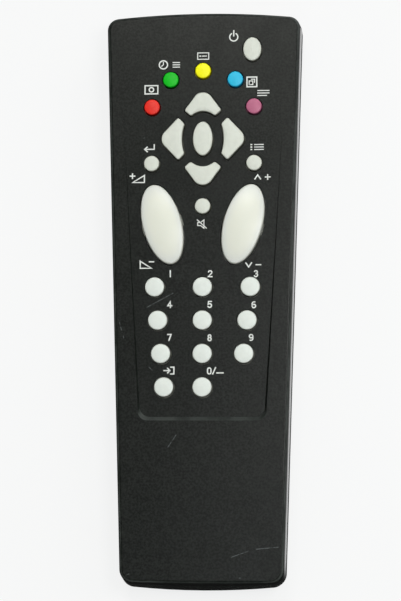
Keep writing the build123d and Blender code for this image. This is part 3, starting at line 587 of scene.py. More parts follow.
# %% [markdown]
# ## Lofting a piece from rings
#
# Keys, rockers and cells are all made the same way: a closed outline is repeated as a stack of
# rings, each drawn in or out and raised, and quads join every ring to the next. It is the mesh
# form of a loft. The points are one array of rings by points, so no loop runs over vertices.

# %% Lofting
def keep_edge(mesh, values):
    """Keeps one number for each point of a mesh, for its material to read."""
    attribute = mesh.attributes.new("edge", "FLOAT", "POINT")
    attribute.data.foreach_set("value", values.astype(np.float32))


def lofted(name, rings, edge=None):
    """A closed mesh through rings of points, an array of rings by points by XYZ, from the bottom
    ring to the top ring, each anticlockwise from above. Its ends close in a fan to their middle.
    edge is one number for each ring, kept on its points."""
    count, around, _ = rings.shape
    ends = np.array([rings[0].mean(0), rings[-1].mean(0)])
    points = np.concatenate([rings.reshape(-1, 3), ends])
    j = np.arange(around)
    k = (j + 1) % around
    rows = np.arange(count - 1)[:, None] * around
    sides = np.stack([rows + j, rows + k, rows + around + k, rows + around + j], -1)
    bottom = np.stack([np.full(around, count * around), k, j], -1)
    last = (count - 1) * around
    top = np.stack([last + j, last + k, np.full(around, count * around + 1)], -1)
    mesh = bpy.data.meshes.new(name)
    mesh.from_pydata(points.tolist(), [],
                     sides.reshape(-1, 4).tolist() + bottom.tolist() + top.tolist())
    if edge is not None:
        keep_edge(mesh, np.concatenate([np.repeat(edge, around), edge[[0, -1]]]))
    return mesh


def joined(name, meshes):
    """Several closed meshes as one."""
    work = bmesh.new()
    for mesh in meshes:
        work.from_mesh(mesh)
    whole = bpy.data.meshes.new(name)
    work.to_mesh(whole)
    work.free()
    return whole


print("ready:", [helper.__name__ for helper in (keep_edge, lofted, joined)])

# %% Outlines
def evenly(outline, count):
    """A closed outline resampled at equal steps of its length."""
    closed = np.concatenate([outline, outline[:1]])
    steps = np.linalg.norm(np.diff(closed, axis=0), axis=1)
    length = np.concatenate([[0], np.cumsum(steps)])
    at = np.linspace(0, length[-1], count, endpoint=False)
    return np.stack([np.interp(at, length, closed[:, i]) for i in range(2)], -1)


def eased(values, times):
    """Each point of a ring replaced by a mean, several times over: a quarter of the point
    before, half of itself and a quarter of the point after."""
    for _ in range(times):
        values = (np.roll(values, 1, 0) + 2 * values + np.roll(values, -1, 0)) / 4
    return values


def drawn_in(outline, inset, ease):
    """An outline moved inwards by an inset, or outwards if it is negative. The direction at a
    point is square to the line from the point before to the point after, eased."""
    along = eased(np.roll(outline, -1, 0) - np.roll(outline, 1, 0), ease)
    along /= np.linalg.norm(along, axis=1, keepdims=True)
    inwards = np.stack([-along[:, 1], along[:, 0]], -1)
    return outline + inset * inwards


print("ready:", [helper.__name__ for helper in (evenly, eased, drawn_in)])

# %% [markdown]
# ## The push keys
#
# A key is a cap that stands up through the panel, with a flange below that keeps it in and a
# plunger that carries its conductive pill down to the board. Its outline is read from the frame:
# the points of the node at the height just under its rounded edge, put in order round its middle,
# and drawn in by a hair, which leaves the dark gap that shows round a real key.
# The profile then gives the cap a slightly domed top and a soft edge, inside the same box.

# %% Key outlines
around_key = 120
same_place = 0.01 * mm


def node_points(node):
    """The points of a CAD node as an array."""
    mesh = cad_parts[node].data
    points = np.empty(len(mesh.vertices) * 3)
    mesh.vertices.foreach_get("co", points)
    return points.reshape(-1, 3)


def middle_of(points):
    """The middle of the box round some points."""
    return (points.min(0) + points.max(0)) / 2


def cap_outline(points, height):
    """The outline of a cap at one height, anticlockwise, from the points that lie there."""
    level = points[np.abs(points[:, 2] - height) < same_place][:, :2]
    level = np.unique(np.round(level, 7), axis=0)
    middle = middle_of(level)
    for _ in range(2):
        angle = np.arctan2(*(level - middle).T[::-1])
        level = level[np.argsort(angle)]
        middle = evenly(level, around_key).mean(0)
    return evenly(level, around_key)


print("points of key_5:", len(node_points("key_5")))

# %% Key caps
around_disc = 40
key_edge = 0.6 * mm
key_dome = 0.22 * mm
cap_edge = 0.45 * mm
cap_clear = 0.06 * mm
cap_ease, flange_ease = 14, 6
flange_grow = 0.8 * mm
flange_thickness = 0.8 * mm
plunger_radius = 1.6 * mm
pill_radius = 1.5 * mm
pill_thickness = 0.3 * mm
quarter = math.pi / 2


def ring(outline, height):
    """An outline as a ring of points at one height."""
    return np.column_stack([outline, np.full(len(outline), height)])


def cap_mesh(name, outline, bottom, top):
    """A cap on its flange. The edge is a quarter round of radius e in six steps: at an angle t
    the outline is drawn in by e (1 - cos t) and stands e sin t above the shoulder. The dome
    inside it is top - dome s squared, where s runs from 0 in the middle to 1 at the edge."""
    flange = drawn_in(outline, -flange_grow, flange_ease)
    flange_top = bottom + flange_thickness
    shoulder = top - key_dome - cap_edge
    rings = [ring(flange, bottom), ring(flange, flange_top)]
    rings += [ring(outline, height) for height in np.linspace(flange_top, shoulder, 4)]
    # shade is each ring's share of painted shade: full on the flange and walls, fading across the
    # rounded edge, none on the top.
    shade = [1.0] * len(rings)
    for turn in np.linspace(0, quarter, 7)[1:]:
        inset = cap_edge * (1 - math.cos(turn))
        rings.append(ring(drawn_in(outline, inset, cap_ease), shoulder + cap_edge * math.sin(turn)))
        shade.append(0.6 * (1 - turn / quarter))
    inner = rings[-1][:, :2]
    middle = inner.mean(0)
    for share in np.linspace(1, 0, 9)[1:-1]:
        rings.append(ring(middle + (inner - middle) * share, top - key_dome * share ** 2))
        shade.append(0.0)
    return lofted(name, np.array(rings), np.array(shade))


def disc_mesh(name, x, y, low, high, radius):
    """A short cylinder, such as a plunger or a pill: two rings of points at the middle plus
    radius (cos a, sin a)."""
    turn = np.linspace(0, 2 * math.pi, around_disc, endpoint=False)
    circle = np.column_stack([x + radius * np.cos(turn), y + radius * np.sin(turn)])
    # Its edge number is 1 all over, so a silicone plunger takes the rim colour, the painted shade.
    return lofted(name, np.array([ring(circle, low), ring(circle, high)]), np.ones(2))


def flange_foot(points, low):
    """The height of the underside of a key's flange, where the key is widest."""
    above = points[points[:, 2] > low + 2 * pill_thickness]
    widest = np.abs(above[:, 0] - above[:, 0].max()) < same_place
    return above[widest][:, 2].min()


print("a cap's edge is", round(cap_edge / mm, 2), "mm round and its dome", round(key_dome / mm, 2))

# %% Conductive pills
def carbon_rubber():
    """Silicone filled with carbon: dull and black, with a fine speckle."""
    finish = Finish("carbon_rubber", Roughness=0.7)
    speckle = finish.spread(finish.noise(0.15 * mm), 0.35, 0.7)
    finish.paint(speckle, srgb(18, 18, 19), srgb(46, 46, 47))
    finish.bump(finish.noise(0.1 * mm), 0.01 * mm, 0.5)
    return finish.material


carbon = carbon_rubber()
contacts = []


def add_pill(body, end, joint, x, y, low):
    """A pill under a plunger. Its place is noted for the rubber skirt round it."""
    name = body + "_pill" + end
    pill = disc_mesh(name, x, y, low, low + pill_thickness, pill_radius)
    place_piece(name, pill, carbon, body, "carbon")
    contacts.append((body + end, joint, x, y))


print("pills are", round(2 * pill_radius / mm, 1), "mm across")

# %% Push keys
push_keys = sorted(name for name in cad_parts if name.startswith("key_"))
number_keys = {f"key_{digit}" for digit in range(10)} | {"key_av"}
for name in push_keys:
    points = node_points(name)
    low, high = points[:, 2].min(), points[:, 2].max()
    outline = drawn_in(cap_outline(points, high - key_edge), cap_clear, cap_ease)
    x, y = middle_of(points[np.abs(points[:, 2] - low) < same_place])[:2]
    flange_low = flange_foot(points, low)
    cap = cap_mesh(name + "_cap", outline, flange_low, high)
    plunger = disc_mesh(name + "_plunger", x, y, low + pill_thickness,
                        flange_low + flange_thickness / 2, plunger_radius)
    plain = grey_silicone if name in number_keys else warm_silicone
    slot = name if name in colour_silicone else "key_grey"
    place_piece(name + "_silicone", joined(name + "_silicone", [cap, plunger]),
                colour_silicone.get(name, plain), name, slot, name)
    add_pill(name, "", name + "_press", x, y, low)
print("push keys:", len(push_keys), "of", around_key, "points around")

# %% [markdown]
# ## The rockers
#
# The two long keys are hard, polished plastic. Each is an oval turned fifteen degrees, domed along
# and across, and it tips on a rib in its middle. The same loft makes it: its rings are ovals in
# the rocker's own axes, and every ring takes its height from the dome above it, so the edge runs
# down towards the two ends as the real one does. The plastic is painted greyer towards its edge
# and darker on its rounded edge and walls, as shade.

# %% Rocker shapes
rocker_long = 27.6 * mm
rocker_short = 13.0 * mm
rocker_dome = 1.3 * mm
rocker_bow = 45 * mm
around_rocker = 160
dome_radius = ((rocker_long / 2) ** 2 + rocker_dome ** 2) / (2 * rocker_dome)


def spin(turn):
    """A matrix that turns rows of X and Y anticlockwise, seen from above."""
    cosine, sine = math.cos(turn), math.sin(turn)
    return np.array([[cosine, sine], [-sine, cosine]])


def block_mesh(name, middle, size, low, high, turn):
    """An upright block on a turned rectangle: two rings whose four points are the corners of a
    square times half of the size, turned and moved to the middle."""
    base = (np.array(corners) * size / 2) @ spin(turn) + middle
    # Its edge number is 1 all over, so on a rocker it takes the darkest painted shade.
    return lofted(name, np.array([ring(base, low), ring(base, high)]), np.ones(2))


def rocker_mesh(name, middle, turn, bottom, top):
    """A domed oval. At v along and u across from the middle of the rocker, the dome stands at
    top - v squared / 2R - u squared / 2r, with R its long radius and r its tighter one across."""
    angles = np.linspace(0, 2 * math.pi, around_rocker, endpoint=False)
    circle = np.column_stack([np.cos(angles), np.sin(angles)])
    half = np.array([rocker_short, rocker_long]) / 2
    rings, shade = [], []

    def dome(flat):
        """Heights of the dome over rows of u and v."""
        return top - flat[:, 1] ** 2 / (2 * dome_radius) - flat[:, 0] ** 2 / (2 * rocker_bow)

    def add_ring(flat, height, edge):
        """One more ring: rows of u and v, turned and moved to the rocker's place."""
        rings.append(np.column_stack([flat @ spin(turn) + middle, height]))
        shade.append(edge)

    # Each ring's edge number is its share of painted shade: most on the walls, less across the
    # rounded edge and little on the dome.
    side = circle * half
    for share in (0.0, 0.35, 0.7, 1.0):
        add_ring(side, bottom + (dome(side) - key_edge - bottom) * share, 1.0 - 0.3 * share)
    for bend in np.linspace(0, quarter, 8)[1:]:
        flat = circle * (half - key_edge * (1 - math.cos(bend)))
        height = dome(flat) - key_edge * (1 - math.sin(bend))
        add_ring(flat, height, 0.5 + 0.5 * (1 - bend / quarter))
    inner = circle * (half - key_edge)
    for share in np.linspace(1, 0, 15)[1:-1]:
        add_ring(inner * share, dome(inner * share), 0.5 * share ** 4)
    return lofted(name, np.array(rings), np.array(shade))


print("the long radius of a rocker is", round(dome_radius / mm, 1), "mm")

# %% Polished plastic
def polished_ivory():
    """Hard ivory plastic with painted shade: greyer towards its edge and darker still on its
    rounded edge and walls. It has a faint haze and fine hairlines.
    """
    finish = Finish("polished_ivory", Coat_Weight=0.1, Coat_Roughness=0.2,
                    Subsurface_Weight=0.12, Subsurface_Radius=(1.4, 1.3, 1.1),
                    Subsurface_Scale=0.8 * mm)
    edge = finish.edge()
    # Painted shade: the mesh's edge number greys the dome towards its rim, then darkens the rounded
    # edge and the walls.
    ivory = finish.blend(finish.spread(edge, 0.0, 0.5), srgb(223, 225, 212), srgb(213, 216, 210))
    ivory = finish.blend(finish.spread(edge, 0.5, 1.0), ivory, srgb(190, 192, 180))
    haze = finish.spread(finish.noise(7 * mm), 0.35, 0.7, 0.0, 0.12)
    finish.paint(haze, ivory, srgb(216, 219, 207))
    finish.set("Roughness", finish.mottle(6 * mm, 3.0, 0.33, 0.40))
    hairs = finish.noise(1.0, 2.0, finish.stretched((2500, 300, 300), (0, 0, 0.4)))
    finish.bump(hairs, 0.002 * mm, 0.25)
    return finish.material


ivory_plastic = polished_ivory()
print("rocker plastic:", ivory_plastic.name)

# %% Rockers
rocker_tilt = math.radians(15)
rocker_plunger = 8.5 * mm
rocker_ear = (15.2 * mm, 4.0 * mm)
rocker_rib = (5.0 * mm, 1.0 * mm)
flange_within = 3.0 * mm
rib_gap = 0.2 * mm
sunk_in = 0.1 * mm
rocker_turns = {"volume_rocker": rocker_tilt, "programme_rocker": -rocker_tilt}
for name, turn in rocker_turns.items():
    points = node_points(name)
    low, high = points[:, 2].min(), points[:, 2].max()
    middle = middle_of(points)[:2]
    heights = np.unique(np.round(points[:, 2], 6))
    flange_low = heights[heights < low + flange_within].max()
    parts = [
        rocker_mesh(name + "_body", middle, turn, flange_low, high),
        block_mesh(name + "_ears", middle, rocker_ear, flange_low,
                   flange_low + flange_thickness, turn),
        block_mesh(name + "_rib", middle, rocker_rib, low + rib_gap, flange_low + sunk_in, turn),
    ]
    for side, end in (("_tail", -1), ("_head", 1)):
        x, y = middle + np.array([-math.sin(turn), math.cos(turn)]) * rocker_plunger * end
        parts.append(disc_mesh(name + "_plunger", x, y, low + pill_thickness,
                               flange_low + sunk_in, plunger_radius))
        add_pill(name, side, name + "_tilt", x, y, low)
    mesh = joined(name + "_plastic", parts)
    place_piece(name + "_plastic", mesh, ivory_plastic, name, "rocker", name)
    print(name, "at", [round(value / mm, 2) for value in middle])

# %% [markdown]
# ## Printed legends
#
# Next to the keys a white ink shows what they do. On the real panel it is a film a few hundredths
# of a millimetre thick. A picture on the surface would do, but thin raised strokes keep crisp
# edges at any distance and stay with the case when it moves. Each stroke is a path of points with
# a flat bar carried along it: the path is moved to both sides by half of the pen's width, and the
# bar lies on the tilted panel. Digits and signs are drawn here with lines and arcs. Only plain
# numbers and pictures of what a key does are used.

# %% Pen
pen = 0.42 * mm
ink_above = 0.025 * mm
ink_below = 0.02 * mm
panel_start = 61.9 * mm
panel_length = 101.8 * mm
panel_depth = 1.2 * mm
corner_limit = 0.45
strokes = []


def surface_height(y):
    """Height of the top of the case: level at the head end, then falling evenly by the panel's
    depth over its length towards the tail."""
    share = np.clip((panel_start - y) / panel_length, 0, 1)
    return case_high.z - panel_depth * share


def line(*points):
    """A path through some points."""
    return np.array(points, float)


def arc(x, y, radius, start, end, steps=14):
    """Part of a circle, from one angle to another in degrees: (x, y) + radius (cos a, sin a)."""
    angle = np.radians(np.linspace(start, end, steps))
    return np.column_stack([x + radius * np.cos(angle), y + radius * np.sin(angle)])


def strung(*parts):
    """Several lines and arcs as one path."""
    return np.concatenate(parts)


def draw(path, place, size, width=pen):
    """Draws a path given in a unit box, scaled to a size in mm and put at a place in mm. A path
    that ends where it starts is drawn as a loop."""
    closed = np.allclose(path[0], path[-1])
    points = path[:-1] if closed else path
    strokes.append(((points * size + place) * mm, closed, width))


def bar(path, closed, width):
    """The points and faces of a flat bar along a path. At each point the bar's two sides lie
    half its width away, square to the mean direction of the steps that meet there, and divided
    by the cosine of half the turn between them, or by the limit at a sharp corner."""
    steps = np.diff(np.concatenate([path, path[:1]]) if closed else path, axis=0)
    steps /= np.linalg.norm(steps, axis=1, keepdims=True)
    if closed:
        before, after = np.roll(steps, 1, 0), steps
    else:
        before = np.concatenate([steps[:1], steps])
        after = np.concatenate([steps, steps[-1:]])
    mean = before + after
    mean /= np.linalg.norm(mean, axis=1, keepdims=True)
    lengthen = 1 / np.maximum((mean * after).sum(1), corner_limit)
    side = np.column_stack([-mean[:, 1], mean[:, 0]]) * (lengthen * width / 2)[:, None]
    if not closed:
        path = path.copy()
        path[0] -= steps[0] * width / 2
        path[-1] += steps[-1] * width / 2
    left, right = path + side, path - side
    top_left = np.column_stack([left, surface_height(left[:, 1]) + ink_above])
    top_right = np.column_stack([right, surface_height(right[:, 1]) + ink_above])
    drop = np.array([0, 0, ink_above + ink_below])
    points = np.stack([top_left, top_right, top_right - drop, top_left - drop], 1)
    count = len(path)
    i = np.arange(count if closed else count - 1)
    k = (i + 1) % count
    faces = [np.stack([i * 4 + a, i * 4 + b, k * 4 + b, k * 4 + a], -1)
             for a, b in ((0, 1), (1, 2), (2, 3), (3, 0))]
    faces = np.concatenate(faces)
    if not closed:
        last = (count - 1) * 4
        faces = np.concatenate([faces, [[3, 2, 1, 0], [last, last + 1, last + 2, last + 3]]])
    return points.reshape(-1, 3), faces


print("the pen is", round(pen / mm, 2), "mm wide")

# %% Digits
digit_size = 2.0
digits = {
    "0": [strung(arc(0, 0.22, 0.28, 0, 180), arc(0, -0.22, 0.28, 180, 360), line((0.28, 0.22)))],
    "1": [line((0, 0.5), (0, -0.5))],
    "2": [strung(arc(0, 0.22, 0.28, 165, -35), line((-0.29, -0.5), (0.3, -0.5)))],
    "3": [strung(arc(0, 0.25, 0.25, 150, -80), arc(0, -0.24, 0.27, 80, -150))],
    "4": [line((0.12, -0.5), (0.12, 0.5), (-0.32, -0.22), (0.33, -0.22))],
    "5": [strung(line((0.27, 0.5), (-0.2, 0.5), (-0.26, 0.03)),
                 arc(-0.01, -0.19, 0.31, 120, -150))],
    "6": [strung(arc(0.06, 0.12, 0.36, 75, 170), arc(0, -0.21, 0.29, 180, 540))],
    "7": [line((-0.28, 0.5), (0.28, 0.5), (-0.08, -0.5))],
    "8": [arc(0, 0.25, 0.23, 0, 360), arc(0, -0.23, 0.27, 0, 360)],
    "9": [strung(arc(0, 0.21, 0.29, 0, 360), arc(-0.06, -0.12, 0.36, 0, -105))],
}
digit_places = {
    "1": (-10.85, 8.05), "2": (2.53, 7.98), "3": (17.87, 7.93),
    "4": (-11.02, -2.30), "5": (2.43, -2.34), "6": (17.19, -2.50),
    "7": (-11.07, -13.38), "8": (2.41, -13.49), "9": (16.30, -13.45), "0": (2.33, -24.60),
}
for digit, place in digit_places.items():
    for path in digits[digit]:
        draw(path, place, digit_size)
print("digits drawn:", len(digit_places))

# %% Signs
thin = 0.32 * mm
rows = (1, 0, -1)


def box_path(width, height):
    """A box round the middle: the corners of a square times half of the width and height."""
    return np.array(corners + corners[:1]) * (width / 2, height / 2)


level_bar = line((-0.5, 0), (0.5, 0))
upright_bar = line((0, 0.5), (0, -0.5))
plus = [level_bar, upright_bar]
ring_path = arc(0, 0, 0.5, 0, 360, steps=30)
broken_ring = arc(0, -0.1, 0.5, 125, 415, steps=26)
horn = line((-0.5, -0.18), (-0.5, 0.18), (-0.15, 0.18), (0.25, 0.5), (0.25, -0.5),
            (-0.15, -0.18), (-0.5, -0.18))
back_frame = line((-0.28, -0.28), (-0.28, 0.1), (0.1, 0.1), (0.1, -0.28), (-0.26, -0.28))
front_corner = line((-0.05, 0.28), (0.28, 0.28), (0.28, -0.05))
socket = line((0.3, 0.6), (0.85, 0.6), (0.85, -0.6), (0.3, -0.6))

# Each sign has a place and a size in mm, its thick paths and its thin ones
signs = {
    "power": ((10.30, 88.57), 2.75, [broken_ring, line((0, 0.05), (0, 0.68))], []),
    "clock": ((-13.52, 79.06), 2.8, [ring_path], [line((-0.2, -0.16), (0, 0.02), (0, 0.3))]),
    "list": ((-9.24, 79.01), 2.2, [],
             [line((-0.45, 0.36 * row), (0.55, 0.36 * row)) for row in rows]),
    "page with a line": ((-0.03, 81.89), 2.2, [line((-0.5, 0), (-0.4, 0))],
                         [box_path(1.7, 1.0), line((-0.1, 0), (0.5, 0))]),
    "picture in a frame": ((16.45, 72.83), 3.3, [box_path(1.0, 1.0)], [back_frame, front_corner]),
    "page of lines": ((20.34, 69.0), 2.1, [],
                      [line((-0.9, 0.4 * row), (0.5 if row < 0 else 0.9, 0.4 * row))
                       for row in rows]),
    "still picture": ((-17.53, 70.55), 2.8, [box_path(1.55, 1.0), arc(0, 0, 0.27, 0, 360, 20)], []),
    "back": ((-18.19, 50.87), 1.9, [line((0.9, 0.45), (0.9, -0.35), (-0.75, -0.35)),
                                    line((-0.35, 0.05), (-0.8, -0.35), (-0.35, -0.75))], []),
    "menu": ((18.11, 50.64), 2.0,
             [line((-0.95, 0.42 * row), (-0.85, 0.42 * row)) for row in rows],
             [line((-0.35, 0.42 * row), (1.1, 0.42 * row)) for row in rows]),
    "rising wedge": ((-19.75, 38.95), 1.0, [line((-4, 0), (0, 0), (0, 2.4), (-4, 0))], []),
    "louder": ((-23.80, 41.14), 1.5, plus, []),
    "falling wedge": ((-21.0, 9.90), 1.0, [line((0, 2.4), (0, 0), (3.8, 0), (0, 2.4))], []),
    "softer": ((-17.20, 12.10), 1.4, [level_bar], []),
    "upward arrow": ((18.44, 40.46), 2.1, [line((-0.45, -0.3), (0, 0.35), (0.45, -0.3))], []),
    "next programme": ((21.80, 40.46), 1.5, plus, []),
    "downward arrow": ((15.44, 10.91), 2.1, [line((-0.45, 0.3), (0, -0.35), (0.45, 0.3))], []),
    "previous programme": ((18.70, 10.91), 1.5, [level_bar], []),
    "silence": ((-0.29, 24.73), 2.8, [], [horn, line((-0.55, 0.5), (0.55, -0.5))]),
    "input": ((-11.12, -24.45), 1.9, [line((-0.9, 0), (0.15, 0)),
                                      line((-0.25, 0.4), (0.15, 0), (-0.25, -0.4)), socket], []),
    "slash": ((3.95, -24.55), 2.1, [line((-0.22, -0.5), (0.22, 0.5))], []),
    "first blank": ((5.25, -25.25), 0.8, [level_bar], []),
    "second blank": ((6.55, -25.25), 0.8, [level_bar], []),
}
for place, size, thick_paths, thin_paths in signs.values():
    for path in thick_paths:
        draw(path, place, size)
    for path in thin_paths:
        draw(path, place, size, thin)
print("signs drawn:", len(signs))

# %% Ink
def white_ink():
    """A dry film of white ink with a fine speckle."""
    finish = Finish("white_ink", Roughness=0.55)
    grain = finish.noise(0.12 * mm)
    finish.paint(finish.spread(grain, 0.3, 0.6), srgb(196, 200, 196), srgb(232, 235, 231))
    finish.bump(grain, 0.008 * mm, 0.4)
    return finish.material


bars = [bar(*path) for path in strokes]
counts = [len(points) for points, _ in bars]
firsts = np.cumsum([0] + counts[:-1])
ink_mesh = bpy.data.meshes.new("printed_legends")
ink_mesh.from_pydata(np.concatenate([points for points, _ in bars]).tolist(), [],
                     np.concatenate([faces + first for (_, faces), first
                                     in zip(bars, firsts)]).tolist())
work = bmesh.new()
work.from_mesh(ink_mesh)
bmesh.ops.recalc_face_normals(work, faces=work.faces)
work.to_mesh(ink_mesh)
work.free()
place_piece("printed_legends", ink_mesh, white_ink(), "case", "rocker", smooth=None)
print("strokes:", len(strokes), "points:", sum(counts))

# %% [markdown]
# ## The rubber skirts under the keys
#
# Inside, every plunger passes through a cone of thin silicone that stands on the keypad mat. It
# pushes the key back up and folds when the key goes down. A turned piece like this could be a
# profile with a Screw modifier. Here the profile is carried round its axis as one array, because
# the same few lines then also turn the battery cells, whose axis lies flat. The skirts can't
# follow their keys, since their feet stay on the mat.

# %% Turned shapes
def circles(profile, foot, along, around):
    """Rings round a line through foot. The point of a ring at angle a is foot + distance * along
    + radius * (side cos a + front sin a), where side, front and along are square to each other."""
    along = np.array(along, float)
    side = np.roll(along, -1)
    front = np.cross(along, side)
    radius, distance = np.array(profile).T[:, :, None, None]
    angle = np.linspace(0, 2 * math.pi, around, endpoint=False)[:, None]
    return foot + distance * along + radius * (np.cos(angle) * side + np.sin(angle) * front)


def turned(name, profile, foot, along=(0, 0, 1), around=48):
    """A hollow ring: a closed profile of (radius, distance) points, anticlockwise, carried round a
    line. Quads join each ring to the next and the last to the first. The attribute edge keeps how
    far along the line a point lies, from 0 to 1."""
    rings = circles(profile, foot, along, around)
    i = np.arange(len(profile))[:, None] * around
    after = (i + around) % (len(profile) * around)
    j = np.arange(around)
    k = (j + 1) % around
    faces = np.stack([i + j, i + k, after + k, after + j], -1)
    mesh = bpy.data.meshes.new(name)
    mesh.from_pydata(rings.reshape(-1, 3).tolist(), [], faces.reshape(-1, 4).tolist())
    distance = np.array(profile)[:, 1]
    share = (distance - distance.min()) / np.ptp(distance)
    keep_edge(mesh, np.repeat(share, around))
    return mesh


print("ready:", [helper.__name__ for helper in (circles, turned)])

# %% Skirts
mat_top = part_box("keypad_mat")[1].z
web_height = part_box("dome_webs")[1].z - mat_top
web_base, web_top = 3.4 * mm, 2.5 * mm
web_wall = 0.35 * mm
web_bulge = 0.12 * mm
ring_smooth = 50
mat_silicone = silicone("mat_silicone", srgb(196, 198, 193), srgb(160, 163, 158), 0.2)


def skirt_profile():
    """A cone whose wall swells a little between its foot and its rim: the radius at a share s of
    the height is base + (top - base) s - bulge sin(pi s), and the wall's thickness is the same all
    the way up."""
    share = np.linspace(0, 1, 7)
    outer = web_base + (web_top - web_base) * share - web_bulge * np.sin(math.pi * share)
    up = np.column_stack([outer, share * web_height])
    down = np.column_stack([outer - web_wall, share * web_height])[::-1]
    return np.concatenate([up, down])


for index, (name, joint, x, y) in enumerate(contacts):
    web = turned("web_" + name, skirt_profile(), np.array([x, y, mat_top]))
    stands_for = ["dome_webs"] if index == 0 else []
    piece = place_piece("web_" + name, web, mat_silicone, "case", "mat", *stands_for,
                        smooth=ring_smooth)
    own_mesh(piece)
print("skirts:", len(contacts), "of height", round(web_height / mm, 2))

# %% [markdown]
# ## Metals
#
# The bay has spring contacts of nickel-plated steel, the chip and the diode stand on tinned legs,
# and the screws are plated with zinc. Bare metal is a shader with its metallic value at 1, and
# what makes it look real is how uneven its gloss is: one noise stretched into fine streaks for the
# rolling or drawing marks, and one soft cloud of tarnish.

# %% Metals
def metal(name, colour, tarnish, roughness, streaks):
    """Bare metal with streaks, finer along the axes where the streak scale is larger."""
    finish = Finish(name, Metallic=1.0)
    finish.paint(finish.spread(finish.noise(2.5 * mm, 4.0), 0.4, 0.75), colour, tarnish)
    drawn = finish.noise(1.0, 3.0, finish.stretched(streaks))
    finish.set("Roughness", finish.spread(drawn, 0.3, 0.7, roughness - 0.07, roughness + 0.10))
    finish.bump(drawn, 0.004 * mm, 0.35)
    return finish.material


nickel = metal("nickel_plate", srgb(206, 204, 197), srgb(170, 164, 152), 0.24, (5000, 700, 700))
tin = metal("tinned_leg", srgb(214, 216, 216), srgb(168, 170, 172), 0.34, (3000, 3000, 900))
zinc = metal("zinc_plate", srgb(196, 200, 205), srgb(160, 158, 150), 0.30, (2500, 2500, 2500))
steel = metal("cell_steel", srgb(208, 208, 206), srgb(176, 174, 168), 0.26, (900, 5000, 900))
print("metals:", [material.name for material in (nickel, tin, zinc, steel)])

# %% [markdown]
# ## The two cells
#
# A cell is a steel can in a thin printed sleeve that is shrunk round it and rolled in over both
# ends. The can is a loft of circles, and the sleeve is a turned ring round it. The sleeve is plain
# blue with a silver band at the positive end and no lettering. Its band is read from the distance
# along the cell, which the mesh keeps as an attribute, and the plus and the minus on the side that
# faces the cover are bars worked out from the real distances.

# %% Cell profiles
# Radius and distance from the end, in mm
sleeve_roll = [(4.50, 0.0), (4.90, 0.06), (5.15, 0.25), (5.25, 0.60)]
can_end = [(2.20, 0.10), (4.10, 0.10), (4.70, 0.20), (4.95, 0.42), (5.10, 0.75)]
sleeve_wall = 0.09 * mm
cell_low, cell_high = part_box("cell_left")
cell_middle = (cell_low + cell_high) / 2
can_length = cell_high.y - cell_low.y


def both_ends(profile):
    """A profile given for one end, repeated backwards for the other end of the cell."""
    near = np.array(profile) * mm
    far = near[::-1] * (1, -1) + (0, can_length)
    return np.concatenate([near, far])


can_profile = both_ends(can_end)
outer = both_ends(sleeve_roll)
inner = outer[::-1] - (sleeve_wall, 0)
inner[[0, -1], 1] += np.array([-1, 1]) * sleeve_wall
sleeve_profile = np.concatenate([outer, inner])
print("a cell's can is", round(can_length / mm, 1), "mm long")

# %% Printed sleeve
band_share, band_blur = 0.2, 0.004
sign_from_end = 5.0 * mm
sign_half, sign_pen = 1.3 * mm, 0.3 * mm


def printed_sleeve():
    """Shrunk film: blue, silver at the positive end, with a plus and a minus. Each of their bars
    covers the points near enough to its middle, along the cell and across it."""
    finish = Finish("cell_film", IOR=1.5, Coat_Weight=0.3, Coat_Roughness=0.15)
    along = finish.edge()
    band = finish.spread(along, band_share - band_blur, band_share + band_blur, 1.0, 0.0)
    across = finish.apart(finish.maths("ABSOLUTE", finish.axis("X")), abs(cell_middle.x))
    below = finish.maths("LESS_THAN", finish.axis("Z"), cell_middle.z)

    def bar_mask(end, half_across, half_along):
        """1 on a bar whose middle lies at a distance from the end, on the cover's side."""
        away = finish.apart(finish.product(along, can_length), end)
        return finish.product(finish.maths("LESS_THAN", across, half_across),
                              finish.maths("LESS_THAN", away, half_along), below)

    minus = bar_mask(can_length - sign_from_end, sign_half, sign_pen)
    plus = finish.largest(bar_mask(sign_from_end, sign_half, sign_pen),
                          bar_mask(sign_from_end, sign_pen, sign_half))
    flakes = finish.mottle(0.2 * mm)
    silver = finish.blend(flakes, srgb(176, 180, 184), srgb(206, 209, 212))
    blue = finish.blend(flakes, srgb(62, 92, 142), srgb(78, 112, 164))
    colour = finish.blend(plus, finish.blend(band, blue, silver), srgb(44, 62, 96))
    finish.paint(minus, colour, srgb(214, 218, 222))
    finish.set("Metallic", finish.product(band, 0.7))
    finish.set("Roughness", finish.mottle(3 * mm, 3.0, 0.26, 0.38))
    finish.bump(finish.noise(4 * mm), 0.03 * mm, 0.2)
    return finish.material


film = printed_sleeve()
print("sleeve:", film.name)

# %% Cells
around_cell = 96
cell_reach = {"cell_left": (0, -1, 0), "cell_right": (0, 1, 0)}
for name, along in cell_reach.items():
    low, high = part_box(name)
    start = high.y if along[1] < 0 else low.y
    foot = np.array([(low.x + high.x) / 2, start, cell_middle.z])
    can = lofted(name + "_can", circles(can_profile, foot, along, around_cell))
    place_piece(name + "_can", can, steel, "case", "tin", name)
    sleeve = turned(name + "_sleeve", sleeve_profile, foot, along, around_cell)
    place_piece(name + "_sleeve", sleeve, film, "case", "cell_sleeve", smooth=ring_smooth)
    print(name, "starts at", [round(value / mm, 1) for value in foot])

# %% [markdown]
# ## The board and the small parts
#
# These keep the shapes they came with, so only their materials are made. The board is brown
# laminate with copper tracks under its varnish. Tracks run straight and turn by fixed angles, and
# cell noise measured along the axes instead of straight across gives edges of just that kind: the
# lines where the nearest and the second nearest point are equally far.

# %% Board
track_pitch = 4.5 * mm


